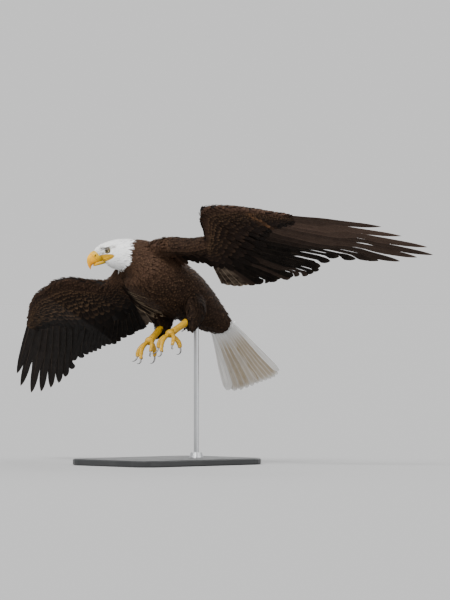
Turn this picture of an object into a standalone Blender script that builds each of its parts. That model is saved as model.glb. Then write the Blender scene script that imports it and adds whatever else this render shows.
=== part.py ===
"""Bald eagle in gliding flight, life size, on a plain display stand.

The bird is modelled in its own body frame: x runs to its left, y runs aft and
z runs up its back, all in centimetres.  One empty carries that frame to its
place above the stand, nose up and banked to the right, and a second empty
carries the head, which is turned to the right and dipped level.
The origin is the centre of the stand's underside, and the bird heads along -Y.
"""
import math

import bmesh
import bpy
from mathutils import Vector

# ---------------------------------------------------------------- sizes (cm)
CM = 0.01               # one centimetre in metres
GAP = 0.035             # clearance between neighbouring solids
RING = 20               # points round the head, neck, trunk and tail root

# Pose
BODY_HEIGHT = 62.0      # shoulder axis above the floor
BODY_AHEAD = 11.0       # shoulder axis ahead of the stand's centre
NOSE_UP = 28.0          # degrees
BANK = 13.3             # degrees, left wing high
HEAD_TURN = 50.0        # degrees to the bird's right
HEAD_DIP = 38.4         # degrees down from the body's axis
HEAD_PLACE = Vector((-6.0, -9.5, 2.1))   # point between the eyes

# Head: upper and lower end of each ring as (ahead, up) of the eyes, half width
HEAD_RINGS = [
    ((4.45, 1.25), (1.5, -3.5), 1.55),
    ((3.2, 2.15), (1.3, -4.45), 2.3),
    ((1.5, 2.7), (0.7, -5.3), 3.05),
    ((-0.7, 2.9), (-0.4, -6.1), 3.5),
    ((-3.2, 2.95), (-1.4, -6.8), 3.8),
]
NAPE_RINGS = [
    ((-6.0, 2.35), (-2.5, -7.5), 4.3),
    ((-8.7, 1.5), (-3.4, -7.9), 5.0),
]
EYE_RADIUS = 1.05
EYE_ACROSS = 2.42       # eye centre from the head's middle plane

# Bill, in the same way
UPPER_BILL = [
    ((4.53, 1.23), (2.18, -2.55), 1.5),
    ((5.4, 0.95), (3.4, -2.6), 1.34),
    ((6.3, 0.35), (4.7, -2.65), 1.14),
    ((7.05, -0.5), (5.6, -2.85), 0.9),
    ((7.35, -1.65), (6.15, -3.05), 0.66),
    ((7.3, -2.9), (6.5, -3.5), 0.38),
    ((6.95, -4.1), (6.75, -4.25), 0.09),
]
LOWER_BILL = [
    ((2.2, -2.68), (1.68, -3.5), 1.34),
    ((3.3, -2.72), (3.0, -3.62), 1.12),
    ((4.6, -2.78), (4.4, -3.55), 0.86),
    ((5.4, -2.98), (5.3, -3.5), 0.5),
    ((5.75, -3.2), (5.7, -3.42), 0.2),
]

# Trunk and tail root: aft, up, half width, height above and depth below
TRUNK_RINGS = [
    (-0.5, 0.2, 8.4, 8.6, 7.2),
    (3.0, 0.1, 9.2, 8.9, 7.8),
    (8.0, 0.0, 9.7, 9.0, 8.1),
    (14.0, 0.0, 9.7, 9.0, 7.9),
    (20.0, 0.0, 9.0, 8.8, 6.9),
    (26.0, 0.0, 7.6, 7.7, 5.9),
    (31.0, 0.0, 6.3, 6.3, 5.3),
]
TAIL_ROOT_RINGS = [
    (31.0, 0.0, 6.3, 6.3, 5.3),
    (34.4, 0.2, 5.6, 4.8, 4.7),
    (37.2, 0.3, 5.1, 3.2, 3.8),
    (39.2, 0.1, 5.2, 1.7, 2.5),
]
TAIL_PITCH = 30.0       # degrees below the body's axis
TAIL_BASE = Vector((0.0, 39.2, 0.1))
TAIL_FEATHERS = 12
TAIL_BASE_HALF = 4.6
TAIL_LENGTH = 22.4      # middle pair, from the tail root
TAIL_ROUNDING = 3.0     # how much shorter the outer pair is
TAIL_HALF_ANGLE = 22.0  # degrees, outer feather from the middle
TAIL_SWING = 5.0        # degrees that the fan is turned to the bird's left
TAIL_ARCH = 1.3         # drop of the outer feathers

# Wing plans: leading point and rear point of each station as (ahead, out from
# the body's middle), and the thickness of flesh and coverts there.  The left
# wing is drawn in at the elbow and the right wing is spread there.
LEFT_UPPER_ARM = [
    ((4.0, 5.0), (-3.6, 6.0), 5.4),
    ((3.8, 11.0), (-3.0, 12.5), 5.2),
    ((0.6, 18.5), (-5.8, 17.5), 4.6),
    ((-1.6, 25.0), (-7.9, 20.6), 3.9),
]
LEFT_FOREARM = [
    ((-1.6, 25.0), (-12.6, 18.6), 3.8),
    ((2.6, 27.0), (-16.0, 23.5), 3.7),
    ((7.2, 29.2), (-17.0, 29.0), 3.6),
    ((10.3, 32.0), (-14.0, 35.0), 3.4),
]
RIGHT_UPPER_ARM = [
    ((3.0, 5.0), (-13.0, 5.6), 5.2),
    ((1.8, 10.6), (-14.0, 10.6), 4.9),
    ((0.0, 16.0), (-15.0, 15.4), 4.4),
    ((5.2, 20.4), (-15.6, 18.6), 4.0),
]
RIGHT_FOREARM = [
    ((5.2, 20.4), (-15.6, 18.6), 4.0),
    ((9.6, 23.8), (-16.0, 23.5), 3.8),
    ((11.4, 28.0), (-15.6, 29.0), 3.6),
    ((10.8, 32.0), (-13.4, 35.0), 3.4),
]
HAND = [
    ((8.8, 38.0), (-10.5, 40.0), 2.9),
    ((4.4, 45.0), (-8.5, 45.5), 2.2),
    ((-0.7, 51.0), (-8.5, 50.5), 1.6),
    ((-4.7, 56.0), (-9.0, 54.5), 1.0),
]
SECTION = [             # place along the chord, half height as a share
    (0.0, 0.0), (0.03, 0.5), (0.12, 0.88), (0.28, 1.0), (0.55, 0.68), (1.0, 0.0),
]
REAR_HALF = 0.17        # half thickness of a wing section at its rear edge
SHEET = 0.15            # thickness of a sheet of feathers
WRIST_OUT = 32.0
TIP_OUT = 86.0
LEAD_AHEAD = 9.0        # reference leading edge, inboard of the wrist
LEAD_SWEEP = 0.62       # and how fast it falls back outboard
CAMBER = (0.05, 0.002)  # drop behind that edge, linear and squared

# Flight feathers: where their bases lie in the flesh, and their tips
PRIMARIES = 10
PRIMARY_BASES = [(-12.6, 35.6), (-9.6, 40.2), (-7.6, 45.4), (-7.4, 49.8), (-5.4, 54.4)]
LEFT_PRIMARY_TIPS = [
    (-28.9, 53.0), (-28.4, 57.0), (-31.6, 61.2), (-35.3, 67.4), (-38.4, 73.4),
    (-39.2, 79.6), (-40.4, 85.0), (-36.6, 85.8), (-28.6, 81.8), (-22.0, 79.0),
]
RIGHT_PRIMARY_TIPS = [
    (-27.4, 52.4), (-28.0, 56.6), (-32.2, 61.2), (-35.4, 67.2), (-37.8, 72.6),
    (-39.4, 78.0), (-40.4, 83.6), (-40.0, 88.0), (-35.4, 88.6), (-28.6, 83.6),
]
INNER_FEATHERS = 16     # secondaries, and tertials nearest the body
TERTIALS = 4
LEFT_INNER_BASES = [(-12.3, 19.3), (-15.2, 23.4), (-16.0, 29.0), (-13.4, 34.4)]
LEFT_INNER_TIPS = [(-21.6, 16.6), (-24.8, 22.6), (-27.6, 29.0), (-29.6, 36.4), (-31.2, 43.4),
                   (-29.8, 50.2)]
RIGHT_INNER_BASES = [(-12.8, 10.4), (-14.4, 17.6), (-15.2, 24.0), (-14.8, 29.0), (-12.6, 34.4)]
RIGHT_INNER_TIPS = [(-20.4, 11.8), (-24.4, 15.6), (-24.2, 24.0), (-23.4, 36.0), (-26.2, 50.0)]

# Legs, in body coordinates of the left leg
THIGH_RINGS = [         # centre, half length fore and aft, half width
    (Vector((5.8, 17.8, -1.0)), 5.6, 3.0),
    (Vector((7.0, 19.4, -5.5)), 4.7, 3.1),
    (Vector((6.8, 20.2, -9.2)), 3.3, 2.5),
    (Vector((6.3, 20.2, -12.0)), 2.2, 1.8),
    (Vector((6.1, 20.6, -13.8)), 1.1, 1.1),
]
HEEL = Vector((5.9, 19.0, -10.6))
LEFT_FOOT = Vector((5.2, 13.2, -18.2))
RIGHT_FOOT = Vector((4.9, 14.6, -17.8))
TARSUS_RADII = (1.3, 1.08, 1.02, 1.15)
PALM = (1.6, 1.45, 1.25)
# name, root beside the palm, heading as (out, aft, up), length, radius, claw
TOES = [
    ("inner", (-1.55, -0.5, -0.95), (-0.62, -0.35, -0.75), 4.6, 0.74, 3.7),
    ("middle", (0.0, -1.15, -1.3), (0.0, -0.55, -0.85), 6.6, 0.76, 3.2),
    ("outer", (1.6, -0.4, -0.95), (0.7, -0.25, -0.75), 5.0, 0.7, 2.8),
    ("hind", (0.15, 1.7, -0.4), (0.3, 0.9, -0.25), 4.0, 0.8, 4.2),
]
TOE_CURL = 50.0         # degrees that a toe bends down along its length
CLAW_CURL = 95.0        # degrees that a claw bends along its length
CLAW_RADIUS = 0.36

# Stand
BASE_LENGTH = 52.0
BASE_WIDTH = 38.0
BASE_THICK = 2.0
BASE_CORNER = 6.0
BASE_ROUND = 0.35
ROD_RADIUS = 0.8
ROD_TOP = Vector((0.0, 26.5, 0.0))       # inside the trunk, body coordinates
COLLAR_RADIUS = 2.2
COLLAR_HEIGHT = 1.6

# ------------------------------------------------------------------ helpers
for old in list(bpy.data.objects):
    bpy.data.objects.remove(old, do_unlink=True)

parts = bpy.data.collections.new("bald_eagle")
cutters = bpy.data.collections.new("cutters")
bpy.context.scene.collection.children.link(parts)
bpy.context.scene.collection.children.link(cutters)


def material(name, colour, roughness, metallic=0.0):
    """A Principled material of one colour."""
    made = bpy.data.materials.new(name)
    made.use_nodes = True
    shader = made.node_tree.nodes["Principled BSDF"]
    shader.inputs["Base Color"].default_value = (*colour, 1.0)
    shader.inputs["Roughness"].default_value = roughness
    shader.inputs["Metallic"].default_value = metallic
    return made


BROWN = (0.075, 0.045, 0.03)
DARK = (0.035, 0.024, 0.018)
WHITE = (0.86, 0.84, 0.79)
YELLOW = (0.78, 0.5, 0.08)
TALON = (0.12, 0.12, 0.13)
IRIS = (0.72, 0.6, 0.22)
STEEL = (0.5, 0.5, 0.52)
PLINTH = (0.05, 0.05, 0.055)


def empty(name, parent=None):
    """An empty that carries a frame."""
    made = bpy.data.objects.new(name, None)
    parts.objects.link(made)
    made.parent = parent
    return made


def finish(name, mesh, colour, parent, roughness=0.6, metallic=0.0, smooth=True):
    """Wrap a mesh or curve as a named part with its own material."""
    made = bpy.data.objects.new(name, mesh)
    mesh.materials.append(material(name, colour, roughness, metallic))
    parts.objects.link(made)
    made.parent = parent
    if smooth and isinstance(mesh, bpy.types.Mesh):
        mesh.shade_smooth()
        mesh.set_sharp_from_angle(angle=math.radians(40))
    return made


def as_cutter(name, mesh, parent):
    """Wrap a mesh as a hidden cutting body."""
    made = bpy.data.objects.new(name, mesh)
    cutters.objects.link(made)
    made.parent = parent
    made.hide_render = True
    made.display_type = 'WIRE'
    return made


def clearance(mesh):
    """A hidden copy of a body's mesh, grown by the gap, that cuts its neighbours."""
    grown = mesh.copy()
    grown.name = mesh.name + "_clearance"
    bm = bmesh.new()
    bm.from_mesh(grown)
    bm.normal_update()
    steps = [v.normal * v.calc_shell_factor() * GAP * CM for v in bm.verts]
    for v, step in zip(bm.verts, steps):
        v.co += step
    bm.to_mesh(grown)
    bm.free()
    return as_cutter(grown.name, grown, body)


def cut(target, cutter):
    """Take a cutting body away from a part."""
    modifier = target.modifiers.new("clear_" + cutter.name, 'BOOLEAN')
    modifier.operation = 'DIFFERENCE'
    modifier.object = cutter
    return modifier


def loft(name, rings, tip=False):
    """A closed mesh through rings of points, with flat ends or a pointed far end."""
    bm = bmesh.new()
    rows = [[bm.verts.new(point * CM) for point in ring] for ring in rings]
    count = len(rows[0])
    for near, far in zip(rows, rows[1:]):
        for i in range(count):
            j = (i + 1) % count
            bm.faces.new((near[i], near[j], far[j]))
            bm.faces.new((near[i], far[j], far[i]))
    bm.faces.new(rows[0])
    if tip:
        end = bm.verts.new(sum((v.co for v in rows[-1]), Vector()) / count)
        for i in range(count):
            bm.faces.new((rows[-1][i], rows[-1][(i + 1) % count], end))
    else:
        bm.faces.new(rows[-1])
    bmesh.ops.recalc_face_normals(bm, faces=bm.faces)
    mesh = bpy.data.meshes.new(name)
    bm.to_mesh(mesh)
    bm.free()
    return mesh


def oval(centre, left, up, half_width, above, below, count=RING):
    """A ring that starts at its top and goes round by the left."""
    ring = []
    for i in range(count):
        angle = 2 * math.pi * i / count
        across = math.sin(angle) * half_width
        rise = math.cos(angle)
        rise *= above if rise > 0 else below
        ring.append(centre + left * across + up * rise)
    return ring


def smooth_rows(rows, steps):
    """Rows of numbers with `steps` parts between each two, on a smooth curve."""
    filled = []
    last = len(rows) - 1
    for i in range(last):
        before, here = rows[max(i - 1, 0)], rows[i]
        there, after = rows[i + 1], rows[min(i + 2, last)]
        for k in range(steps):
            t = k / steps
            filled.append([
                0.5 * (2 * q + (r - p) * t + (2 * p - 5 * q + 4 * r - s) * t * t
                       + (3 * q - p - 3 * r + s) * t ** 3)
                for p, q, r, s in zip(before, here, there, after)])
    filled.append(list(rows[last]))
    return filled


def along(points, share):
    """The point at a share of the length of a line through points."""
    points = [Vector(p) for p in points]
    legs = [(b - a).length for a, b in zip(points, points[1:])]
    left = share * sum(legs)
    for start, end, leg in zip(points, points[1:], legs):
        if left <= leg:
            return start.lerp(end, left / leg)
        left -= leg
    return points[-1]


# ---------------------------------------------------------------- the frames
body = empty("body_frame")
body.rotation_mode = 'YXZ'
body.location = Vector((0.0, -BODY_AHEAD, BODY_HEIGHT)) * CM
body.rotation_euler = (math.radians(-NOSE_UP), math.radians(-BANK), 0.0)

head_frame = empty("head_frame", body)
head_frame.rotation_mode = 'ZXY'
head_frame.location = HEAD_PLACE * CM
head_frame.rotation_euler = (math.radians(HEAD_DIP), 0.0, math.radians(-HEAD_TURN))
bpy.context.view_layer.update()
TO_BODY = head_frame.matrix_local.to_3x3()

X = Vector((1.0, 0.0, 0.0))
Y = Vector((0.0, 1.0, 0.0))
Z = Vector((0.0, 0.0, 1.0))


# ----------------------------------------------------------- head and bill
def profile_ring(row, count=RING):
    """A ring of the head from its upper and lower ends and its half width."""
    (top_ahead, top_up), (low_ahead, low_up), half_width = row
    top = Vector((0.0, -top_ahead, top_up))
    low = Vector((0.0, -low_ahead, low_up))
    half = (top - low).length / 2
    up = (top - low).normalized()
    return oval((top + low) / 2, X, up, half_width, half, half, count)


def flat_rows(rings):
    """Head rings as plain rows of numbers."""
    return [(*top, *low, half) for top, low, half in rings]


def ring_rows(rows):
    """Plain rows of numbers as head rings."""
    return [((a, b), (c, d), half) for a, b, c, d, half in rows]


def shifted(ring, step):
    """A ring moved along its own normal."""
    normal = (ring[0] - ring[len(ring) // 2]).cross(ring[len(ring) // 4] - ring[0])
    return [point + normal.normalized() * step for point in ring]


def head_rows():
    """All rings of the head and nape, with one between each two of the table."""
    return ring_rows(smooth_rows(flat_rows(HEAD_RINGS + NAPE_RINGS), 2))


def make_head():
    """Head with two eye sockets, two eyes and the bill's halves."""
    skull = head_rows()[:2 * len(HEAD_RINGS) - 1]
    head = finish("head", loft("head", [profile_ring(r) for r in skull]), WHITE, head_frame)
    for side, name in ((1, "left"), (-1, "right")):
        place = Vector((side * EYE_ACROSS, 0.0, 0.0)) * CM
        for kind, radius in (("eye", EYE_RADIUS), ("socket", EYE_RADIUS + GAP)):
            bm = bmesh.new()
            bmesh.ops.create_uvsphere(bm, u_segments=12, v_segments=8, radius=radius * CM)
            bmesh.ops.translate(bm, verts=bm.verts, vec=place)
            mesh = bpy.data.meshes.new(kind + "_" + name)
            bm.to_mesh(mesh)
            bm.free()
            if kind == "eye":
                finish("eye_" + name, mesh, IRIS, head_frame, 0.1)
            else:
                cut(head, as_cutter("socket_" + name, mesh, head_frame))
    for name, table in (("bill_upper", UPPER_BILL), ("bill_lower", LOWER_BILL)):
        rings = [profile_ring(row, count=14) for row in table]
        finish(name, loft(name, rings, tip=True), YELLOW, head_frame, 0.35)


def body_ring(row, tilt=0.0):
    """A ring of the trunk, leaning back by tilt degrees."""
    aft, rise, half_width, above, below = row
    up = Vector((0.0, math.sin(math.radians(tilt)), math.cos(math.radians(tilt))))
    return oval(Vector((0.0, aft, rise)), X, up, half_width, above, below)


def make_neck():
    """Nape in the head's frame, blended into the front of the trunk."""
    nape = [profile_ring(row) for row in head_rows()[2 * len(HEAD_RINGS) - 2:]]
    behind = shifted(nape[0], GAP)
    ahead = shifted(nape[0], -GAP)
    centre = sum(nape[1], Vector()) / RING
    nearer = (behind[0] - centre).length < (ahead[0] - centre).length
    nape[0] = behind if nearer else ahead
    nape = [[TO_BODY @ point + HEAD_PLACE for point in ring] for ring in nape]
    front = [point - Y * GAP for point in body_ring(TRUNK_RINGS[0])]
    rings = list(nape)
    for share, swell in ((0.35, 1.05), (0.7, 1.06)):
        middle = [a.lerp(b, share) for a, b in zip(nape[-1], front)]
        centre = sum(middle, Vector()) / RING
        rings.append([centre + (point - centre) * swell for point in middle])
    rings.append(front)
    mesh = loft("neck", rings)
    finish("neck", mesh, BROWN, body)
    return clearance(mesh)


# -------------------------------------------------------- trunk and tail
def make_trunk():
    """Trunk from the base of the neck to the rump."""
    mesh = loft("trunk", [body_ring(r) for r in smooth_rows(TRUNK_RINGS, 2)])
    finish("trunk", mesh, BROWN, body)
    return clearance(mesh)


def make_tail_root():
    """Rump and tail coverts, bending down to the tail's own pitch."""
    rows = smooth_rows(TAIL_ROOT_RINGS, 2)
    last = len(rows) - 1
    rings = [body_ring(row, -TAIL_PITCH * i / last) for i, row in enumerate(rows)]
    rings[0] = [point + Y * GAP for point in rings[0]]
    mesh = loft("tail_root", rings)
    finish("tail_root", mesh, BROWN, body)
    return clearance(mesh)


def tail_aim():
    """The way the tail points."""
    pitch = math.radians(TAIL_PITCH)
    return Vector((0.0, math.cos(pitch), -math.sin(pitch)))


def feather_sheet(name, lines, span, rows, slots, half_most, vane, place):
    """One thin sheet of feathers that share edges up to the start of their slots.

    lines holds the base and tip in plan of every feather in the fan, span the
    first and the end of those in this sheet, rows the shares of the length that
    carry points, slots the share at which each feather comes free, vane the
    width left in a free row as a share, and place turns plan into space.
    """
    bm = bmesh.new()
    first, end = span

    def middle(i, share):
        base, tip = lines[i]
        return base.lerp(tip, share)

    def offset(i, side, share):
        j = i + side
        if 0 <= j < len(lines):
            reach = (middle(j, share) - middle(i, share)) / 2
        else:
            reach = (middle(i, share) - middle(i - side, share)) / 2
        if not first <= j < end:
            reach -= reach.normalized() * GAP
        return reach if reach.length <= half_most else reach.normalized() * half_most

    shared = {}

    def edge(i, side, k):
        share = rows[k]
        j = i + side
        within = first <= j < end
        free = min(slots[i], slots[j]) if within else slots[i]
        if share <= free:
            key = (min(i, j), k)
            if key not in shared:
                reach = (middle(j, share) - middle(i, share)) / 2 if within else None
                point = middle(i, share) + (reach if within else offset(i, side, share))
                shared[key] = bm.verts.new(place(point))
            return shared[key]
        freed = (share - free) / (1 - free)
        width = vane * (1 - freed ** 3)
        return bm.verts.new(place(middle(i, share) + offset(i, side, share) * width))

    for i in range(first, end):
        strip = []
        for k, share in enumerate(rows[:-1]):
            shaft = bm.verts.new(place(middle(i, share)))
            strip.append((edge(i, -1, k), shaft, edge(i, 1, k)))
        point = bm.verts.new(place(middle(i, 1.0)))
        for near, far in zip(strip, strip[1:]):
            bm.faces.new((near[0], near[1], far[1], far[0]))
            bm.faces.new((near[1], near[2], far[2], far[1]))
        bm.faces.new((strip[-1][0], strip[-1][1], point))
        bm.faces.new((strip[-1][1], strip[-1][2], point))
    bmesh.ops.recalc_face_normals(bm, faces=bm.faces)
    mesh = bpy.data.meshes.new(name)
    bm.to_mesh(mesh)
    bm.free()
    return mesh


def thicken(sheet):
    """Give a sheet of feathers its thickness."""
    modifier = sheet.modifiers.new("thickness", 'SOLIDIFY')
    modifier.thickness = SHEET * CM
    modifier.offset = 0.0


def make_tail(root_clearance):
    """The fan of twelve tail feathers."""
    aim = tail_aim()
    up = X.cross(aim)
    if up.z < 0:
        up = -up

    swing = math.radians(TAIL_SWING)

    def place(point):
        across, reach = point
        drop = TAIL_ARCH * (across / 11.0) ** 2 * min(max(reach, 0.0) / 10.0, 1.0)
        turned = across * math.cos(swing) + reach * math.sin(swing)
        reach = reach * math.cos(swing) - across * math.sin(swing)
        return (TAIL_BASE + X * turned + aim * reach - up * drop) * CM

    lines = []
    for i in range(TAIL_FEATHERS):
        side = (2 * i + 1) / TAIL_FEATHERS - 1
        angle = math.radians(TAIL_HALF_ANGLE) * side
        length = TAIL_LENGTH - TAIL_ROUNDING * side ** 4
        base = Vector((side * TAIL_BASE_HALF, -1.2))
        reach = length / math.cos(angle)
        tip = Vector((base.x + reach * math.sin(angle), reach * math.cos(angle)))
        lines.append((base, tip))
    rows = (0.0, 0.5, 0.9, 0.97, 1.0)
    slots = [0.9] * TAIL_FEATHERS
    mesh = feather_sheet("tail_feathers", lines, (0, TAIL_FEATHERS), rows, slots, 1.6, 0.92, place)
    tail = finish("tail_feathers", mesh, WHITE, body)
    thicken(tail)
    cut(tail, root_clearance)


# -------------------------------------------------------------------- wings
class Wing:
    """One wing: its side, its plan and the heights that differ between the two."""

    def __init__(self, name, side, reach, plan, heights, bend, camber):
        self.name = name
        self.side = side
        self.reach = reach
        self.upper_arm, self.forearm, self.bases, self.tips, self.ends = plan
        self.shoulder_up, self.wrist_up, self.tip_up = heights
        self.bend = bend
        self.camber = camber

    def height(self, ahead, out):
        """Height of the wing's middle surface over a point of its plan."""
        if out < WRIST_OUT:
            t = max(out - self.bend, 0.0) / (WRIST_OUT - self.bend)
            rise = self.shoulder_up + (self.wrist_up - self.shoulder_up) * t
            lead = LEAD_AHEAD
        else:
            t = (out - WRIST_OUT) / (TIP_OUT - WRIST_OUT)
            rise = self.wrist_up + (self.tip_up - self.wrist_up) * t
            lead = LEAD_AHEAD - LEAD_SWEEP * (out - WRIST_OUT)
        behind = max(lead - ahead, 0.0)
        return rise - self.camber * (CAMBER[0] * behind + CAMBER[1] * behind ** 2)

    def place(self, point, lift=0.0):
        """A point of the plan in body coordinates."""
        ahead, out = point
        return Vector((self.side * out * self.reach, -ahead, self.height(ahead, out) + lift))

    def metres(self, point):
        """A point of the plan, on the middle surface, in metres."""
        return self.place(point) * CM


def section_ring(wing, lead, rear, thick):
    """A wing section standing on its chord."""
    lead, rear = Vector(lead), Vector(rear)
    upper, lower = [], []
    for share, half in SECTION:
        point = lead.lerp(rear, share)
        swell = thick / 2 * half + REAR_HALF * min(share * 8, 1.0)
        upper.append(wing.place(point, swell))
        if share:
            lower.append(wing.place(point, -swell))
    return upper + lower[::-1]


def blade(name, wing, stations, behind=False):
    """A length of wing flesh, standing off the one before it if behind is set."""
    rows = smooth_rows([(*lead, *rear, thick) for lead, rear, thick in stations], 2)
    if behind:
        for k in (0, 2):
            start, end = Vector(rows[0][k:k + 2]), Vector(rows[1][k:k + 2])
            rows[0][k:k + 2] = start + (end - start).normalized() * GAP
    mesh = loft(name, [section_ring(wing, row[:2], row[2:4], row[4]) for row in rows])
    finish(name, mesh, BROWN, body)
    return clearance(mesh)


def make_wing(wing, trunk_clearance, neck_clearance):
    """Three lengths of flesh and three sheets of feathers."""
    side = wing.name + "_"
    arm = blade(side + "upper_arm", wing, wing.upper_arm)
    for flesh in (trunk_clearance, neck_clearance):
        cut(bpy.data.objects[side + "upper_arm"], flesh)
    forearm = blade(side + "forearm", wing, wing.forearm, True)
    hand = blade(side + "hand", wing, wing.forearm[-1:] + HAND, True)

    inner, total = INNER_FEATHERS, INNER_FEATHERS + PRIMARIES
    lines = []
    for i in range(inner):
        share = (i + 0.5) / inner
        lines.append((along(wing.bases, share), along(wing.tips, share)))
    for i in range(PRIMARIES):
        lines.append((along(PRIMARY_BASES, i / (PRIMARIES - 1)), Vector(wing.ends[i])))
    slots = [0.84] * TERTIALS + [0.88] * (inner - TERTIALS + 3)
    slots += [0.88 - 0.065 * i for i in range(1, PRIMARIES - 2)]
    short = (0.0, 0.5, 0.86, 1.0)
    tall = (0.0, 0.4, 0.6, 0.8, 0.93, 1.0)
    groups = (
        ("tertials", (0, TERTIALS), short, 1.6, BROWN),
        ("secondaries", (TERTIALS, inner), short, 1.8, DARK),
        ("primaries", (inner, total), tall, 2.1, DARK),
    )
    for kind, span, rows, half_most, colour in groups:
        mesh = feather_sheet(side + kind, lines, span, rows, slots, half_most, 0.86, wing.metres)
        sheet = finish(side + kind, mesh, colour, body)
        thicken(sheet)
        for flesh in (arm, forearm, hand):
            cut(sheet, flesh)
        if kind == "tertials":
            cut(sheet, trunk_clearance)


# --------------------------------------------------------------------- legs
def tube(name, points, radii, resolution):
    """A tapering tube as a curve with filled ends."""
    curve = bpy.data.curves.new(name, 'CURVE')
    curve.dimensions = '3D'
    curve.bevel_depth = CM
    curve.bevel_resolution = resolution
    curve.use_fill_caps = True
    spline = curve.splines.new('POLY')
    spline.points.add(len(points) - 1)
    for slot, point, radius in zip(spline.points, points, radii):
        slot.co = (*(point * CM), 1.0)
        slot.radius = radius
    return curve


def curl(start, heading, length, degrees, count, down):
    """Points along an arc that bends from its heading towards down."""
    heading = heading.normalized()
    side = heading.cross(down).normalized()
    turn = side.cross(heading)
    points = [start]
    for i in range(count):
        angle = math.radians(degrees) * i / (count - 1)
        step = heading * math.cos(angle) + turn * math.sin(angle)
        points.append(points[-1] + step * length / count)
    final = math.radians(degrees)
    return points, heading * math.cos(final) + turn * math.sin(final)


def make_leg(name, side, foot, trunk_clearance):
    """Thigh, tarsus, foot, four toes and their claws."""
    def across(point):
        return Vector((side * point[0], point[1], point[2]))

    rows = smooth_rows([(*centre, length, width) for centre, length, width in THIGH_RINGS], 2)
    rings = []
    for row in rows:
        centre = across(row[:3])
        rings.append([
            centre + X * math.sin(2 * math.pi * i / 16) * row[4]
            + Y * math.cos(2 * math.pi * i / 16) * row[3] for i in range(16)])
    mesh = loft(name + "_thigh", rings)
    thigh = finish(name + "_thigh", mesh, BROWN, body)
    flesh = clearance(mesh)
    cut(thigh, trunk_clearance)

    heel, foot = across(HEEL), across(foot)
    shank = (foot - heel).normalized()
    end = foot - shank * (PALM[2] + GAP + 0.15)
    path = [heel.lerp(end, share) for share in (0.0, 0.4, 0.75, 1.0)]
    back = shank.cross(X).normalized()
    rings = [
        [point + (X * math.sin(2 * math.pi * i / 10) + back * math.cos(2 * math.pi * i / 10))
         * radius for i in range(10)] for point, radius in zip(path, TARSUS_RADII)]
    tarsus = finish(name + "_tarsus", loft(name + "_tarsus", rings), YELLOW, body)
    cut(tarsus, flesh)

    bm = bmesh.new()
    bmesh.ops.create_uvsphere(bm, u_segments=12, v_segments=8, radius=1.0)
    bmesh.ops.scale(bm, verts=bm.verts, vec=Vector(PALM) * CM)
    bmesh.ops.translate(bm, verts=bm.verts, vec=foot * CM)
    mesh = bpy.data.meshes.new(name + "_foot")
    bm.to_mesh(mesh)
    bm.free()
    finish(name + "_foot", mesh, YELLOW, body)

    for toe, root, heading, length, radius, claw in TOES:
        start = foot + across(root)
        points, aim = curl(start, across(heading), length, TOE_CURL, 4, -Z)
        radii = [radius * share for share in (1.0, 0.92, 0.95, 0.86, 0.7)]
        finish(name + "_toe_" + toe, tube("toe", points, radii, 1), YELLOW, body)
        down = -Z if toe != "hind" else -Z - Y
        start = points[-1] + aim * GAP
        points, _ = curl(start, aim, claw, CLAW_CURL, 5, down)
        radii = [CLAW_RADIUS * share for share in (1.0, 0.92, 0.76, 0.56, 0.34, 0.08)]
        finish(name + "_claw_" + toe, tube("claw", points, radii, 1), TALON, body, 0.3)


# -------------------------------------------------------------------- stand
def make_stand(trunk_clearance):
    """A flat base with a collar and one rod up into the belly."""
    bm = bmesh.new()
    bmesh.ops.create_cube(bm, size=1.0)
    size = Vector((BASE_WIDTH, BASE_LENGTH, BASE_THICK)) * CM
    bmesh.ops.scale(bm, verts=bm.verts, vec=size)
    bmesh.ops.translate(bm, verts=bm.verts, vec=Z * size.z / 2)
    upright = [e for e in bm.edges if abs(e.verts[0].co.z - e.verts[1].co.z) > size.z / 2]
    bmesh.ops.bevel(bm, geom=upright, offset=BASE_CORNER * CM, segments=6, profile=0.5,
                    affect='EDGES')
    mesh = bpy.data.meshes.new("stand_base")
    bm.to_mesh(mesh)
    bm.free()
    base = finish("stand_base", mesh, PLINTH, None, 0.45)
    rounding = base.modifiers.new("edge", 'BEVEL')
    rounding.width = BASE_ROUND * CM
    rounding.segments = 1
    rounding.limit_method = 'ANGLE'

    top = body.matrix_world @ (ROD_TOP * CM)
    bm = bmesh.new()
    low = (BASE_THICK + COLLAR_HEIGHT + GAP) * CM
    bmesh.ops.create_cone(bm, cap_ends=True, segments=16, radius1=ROD_RADIUS * CM,
                          radius2=ROD_RADIUS * CM, depth=top.z - low)
    bmesh.ops.translate(bm, verts=bm.verts, vec=(top.x, top.y, (top.z + low) / 2))
    mesh = bpy.data.meshes.new("stand_rod")
    bm.to_mesh(mesh)
    bm.free()
    rod = finish("stand_rod", mesh, STEEL, None, 0.3, 1.0)
    cut(rod, trunk_clearance)

    bm = bmesh.new()
    bmesh.ops.create_cone(bm, cap_ends=True, segments=24, radius1=COLLAR_RADIUS * CM,
                          radius2=COLLAR_RADIUS * CM * 0.8, depth=COLLAR_HEIGHT * CM)
    bmesh.ops.translate(bm, verts=bm.verts,
                        vec=(top.x, top.y, (BASE_THICK + GAP + COLLAR_HEIGHT / 2) * CM))
    mesh = bpy.data.meshes.new("stand_collar")
    bm.to_mesh(mesh)
    bm.free()
    finish("stand_collar", mesh, STEEL, None, 0.3, 1.0)


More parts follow.
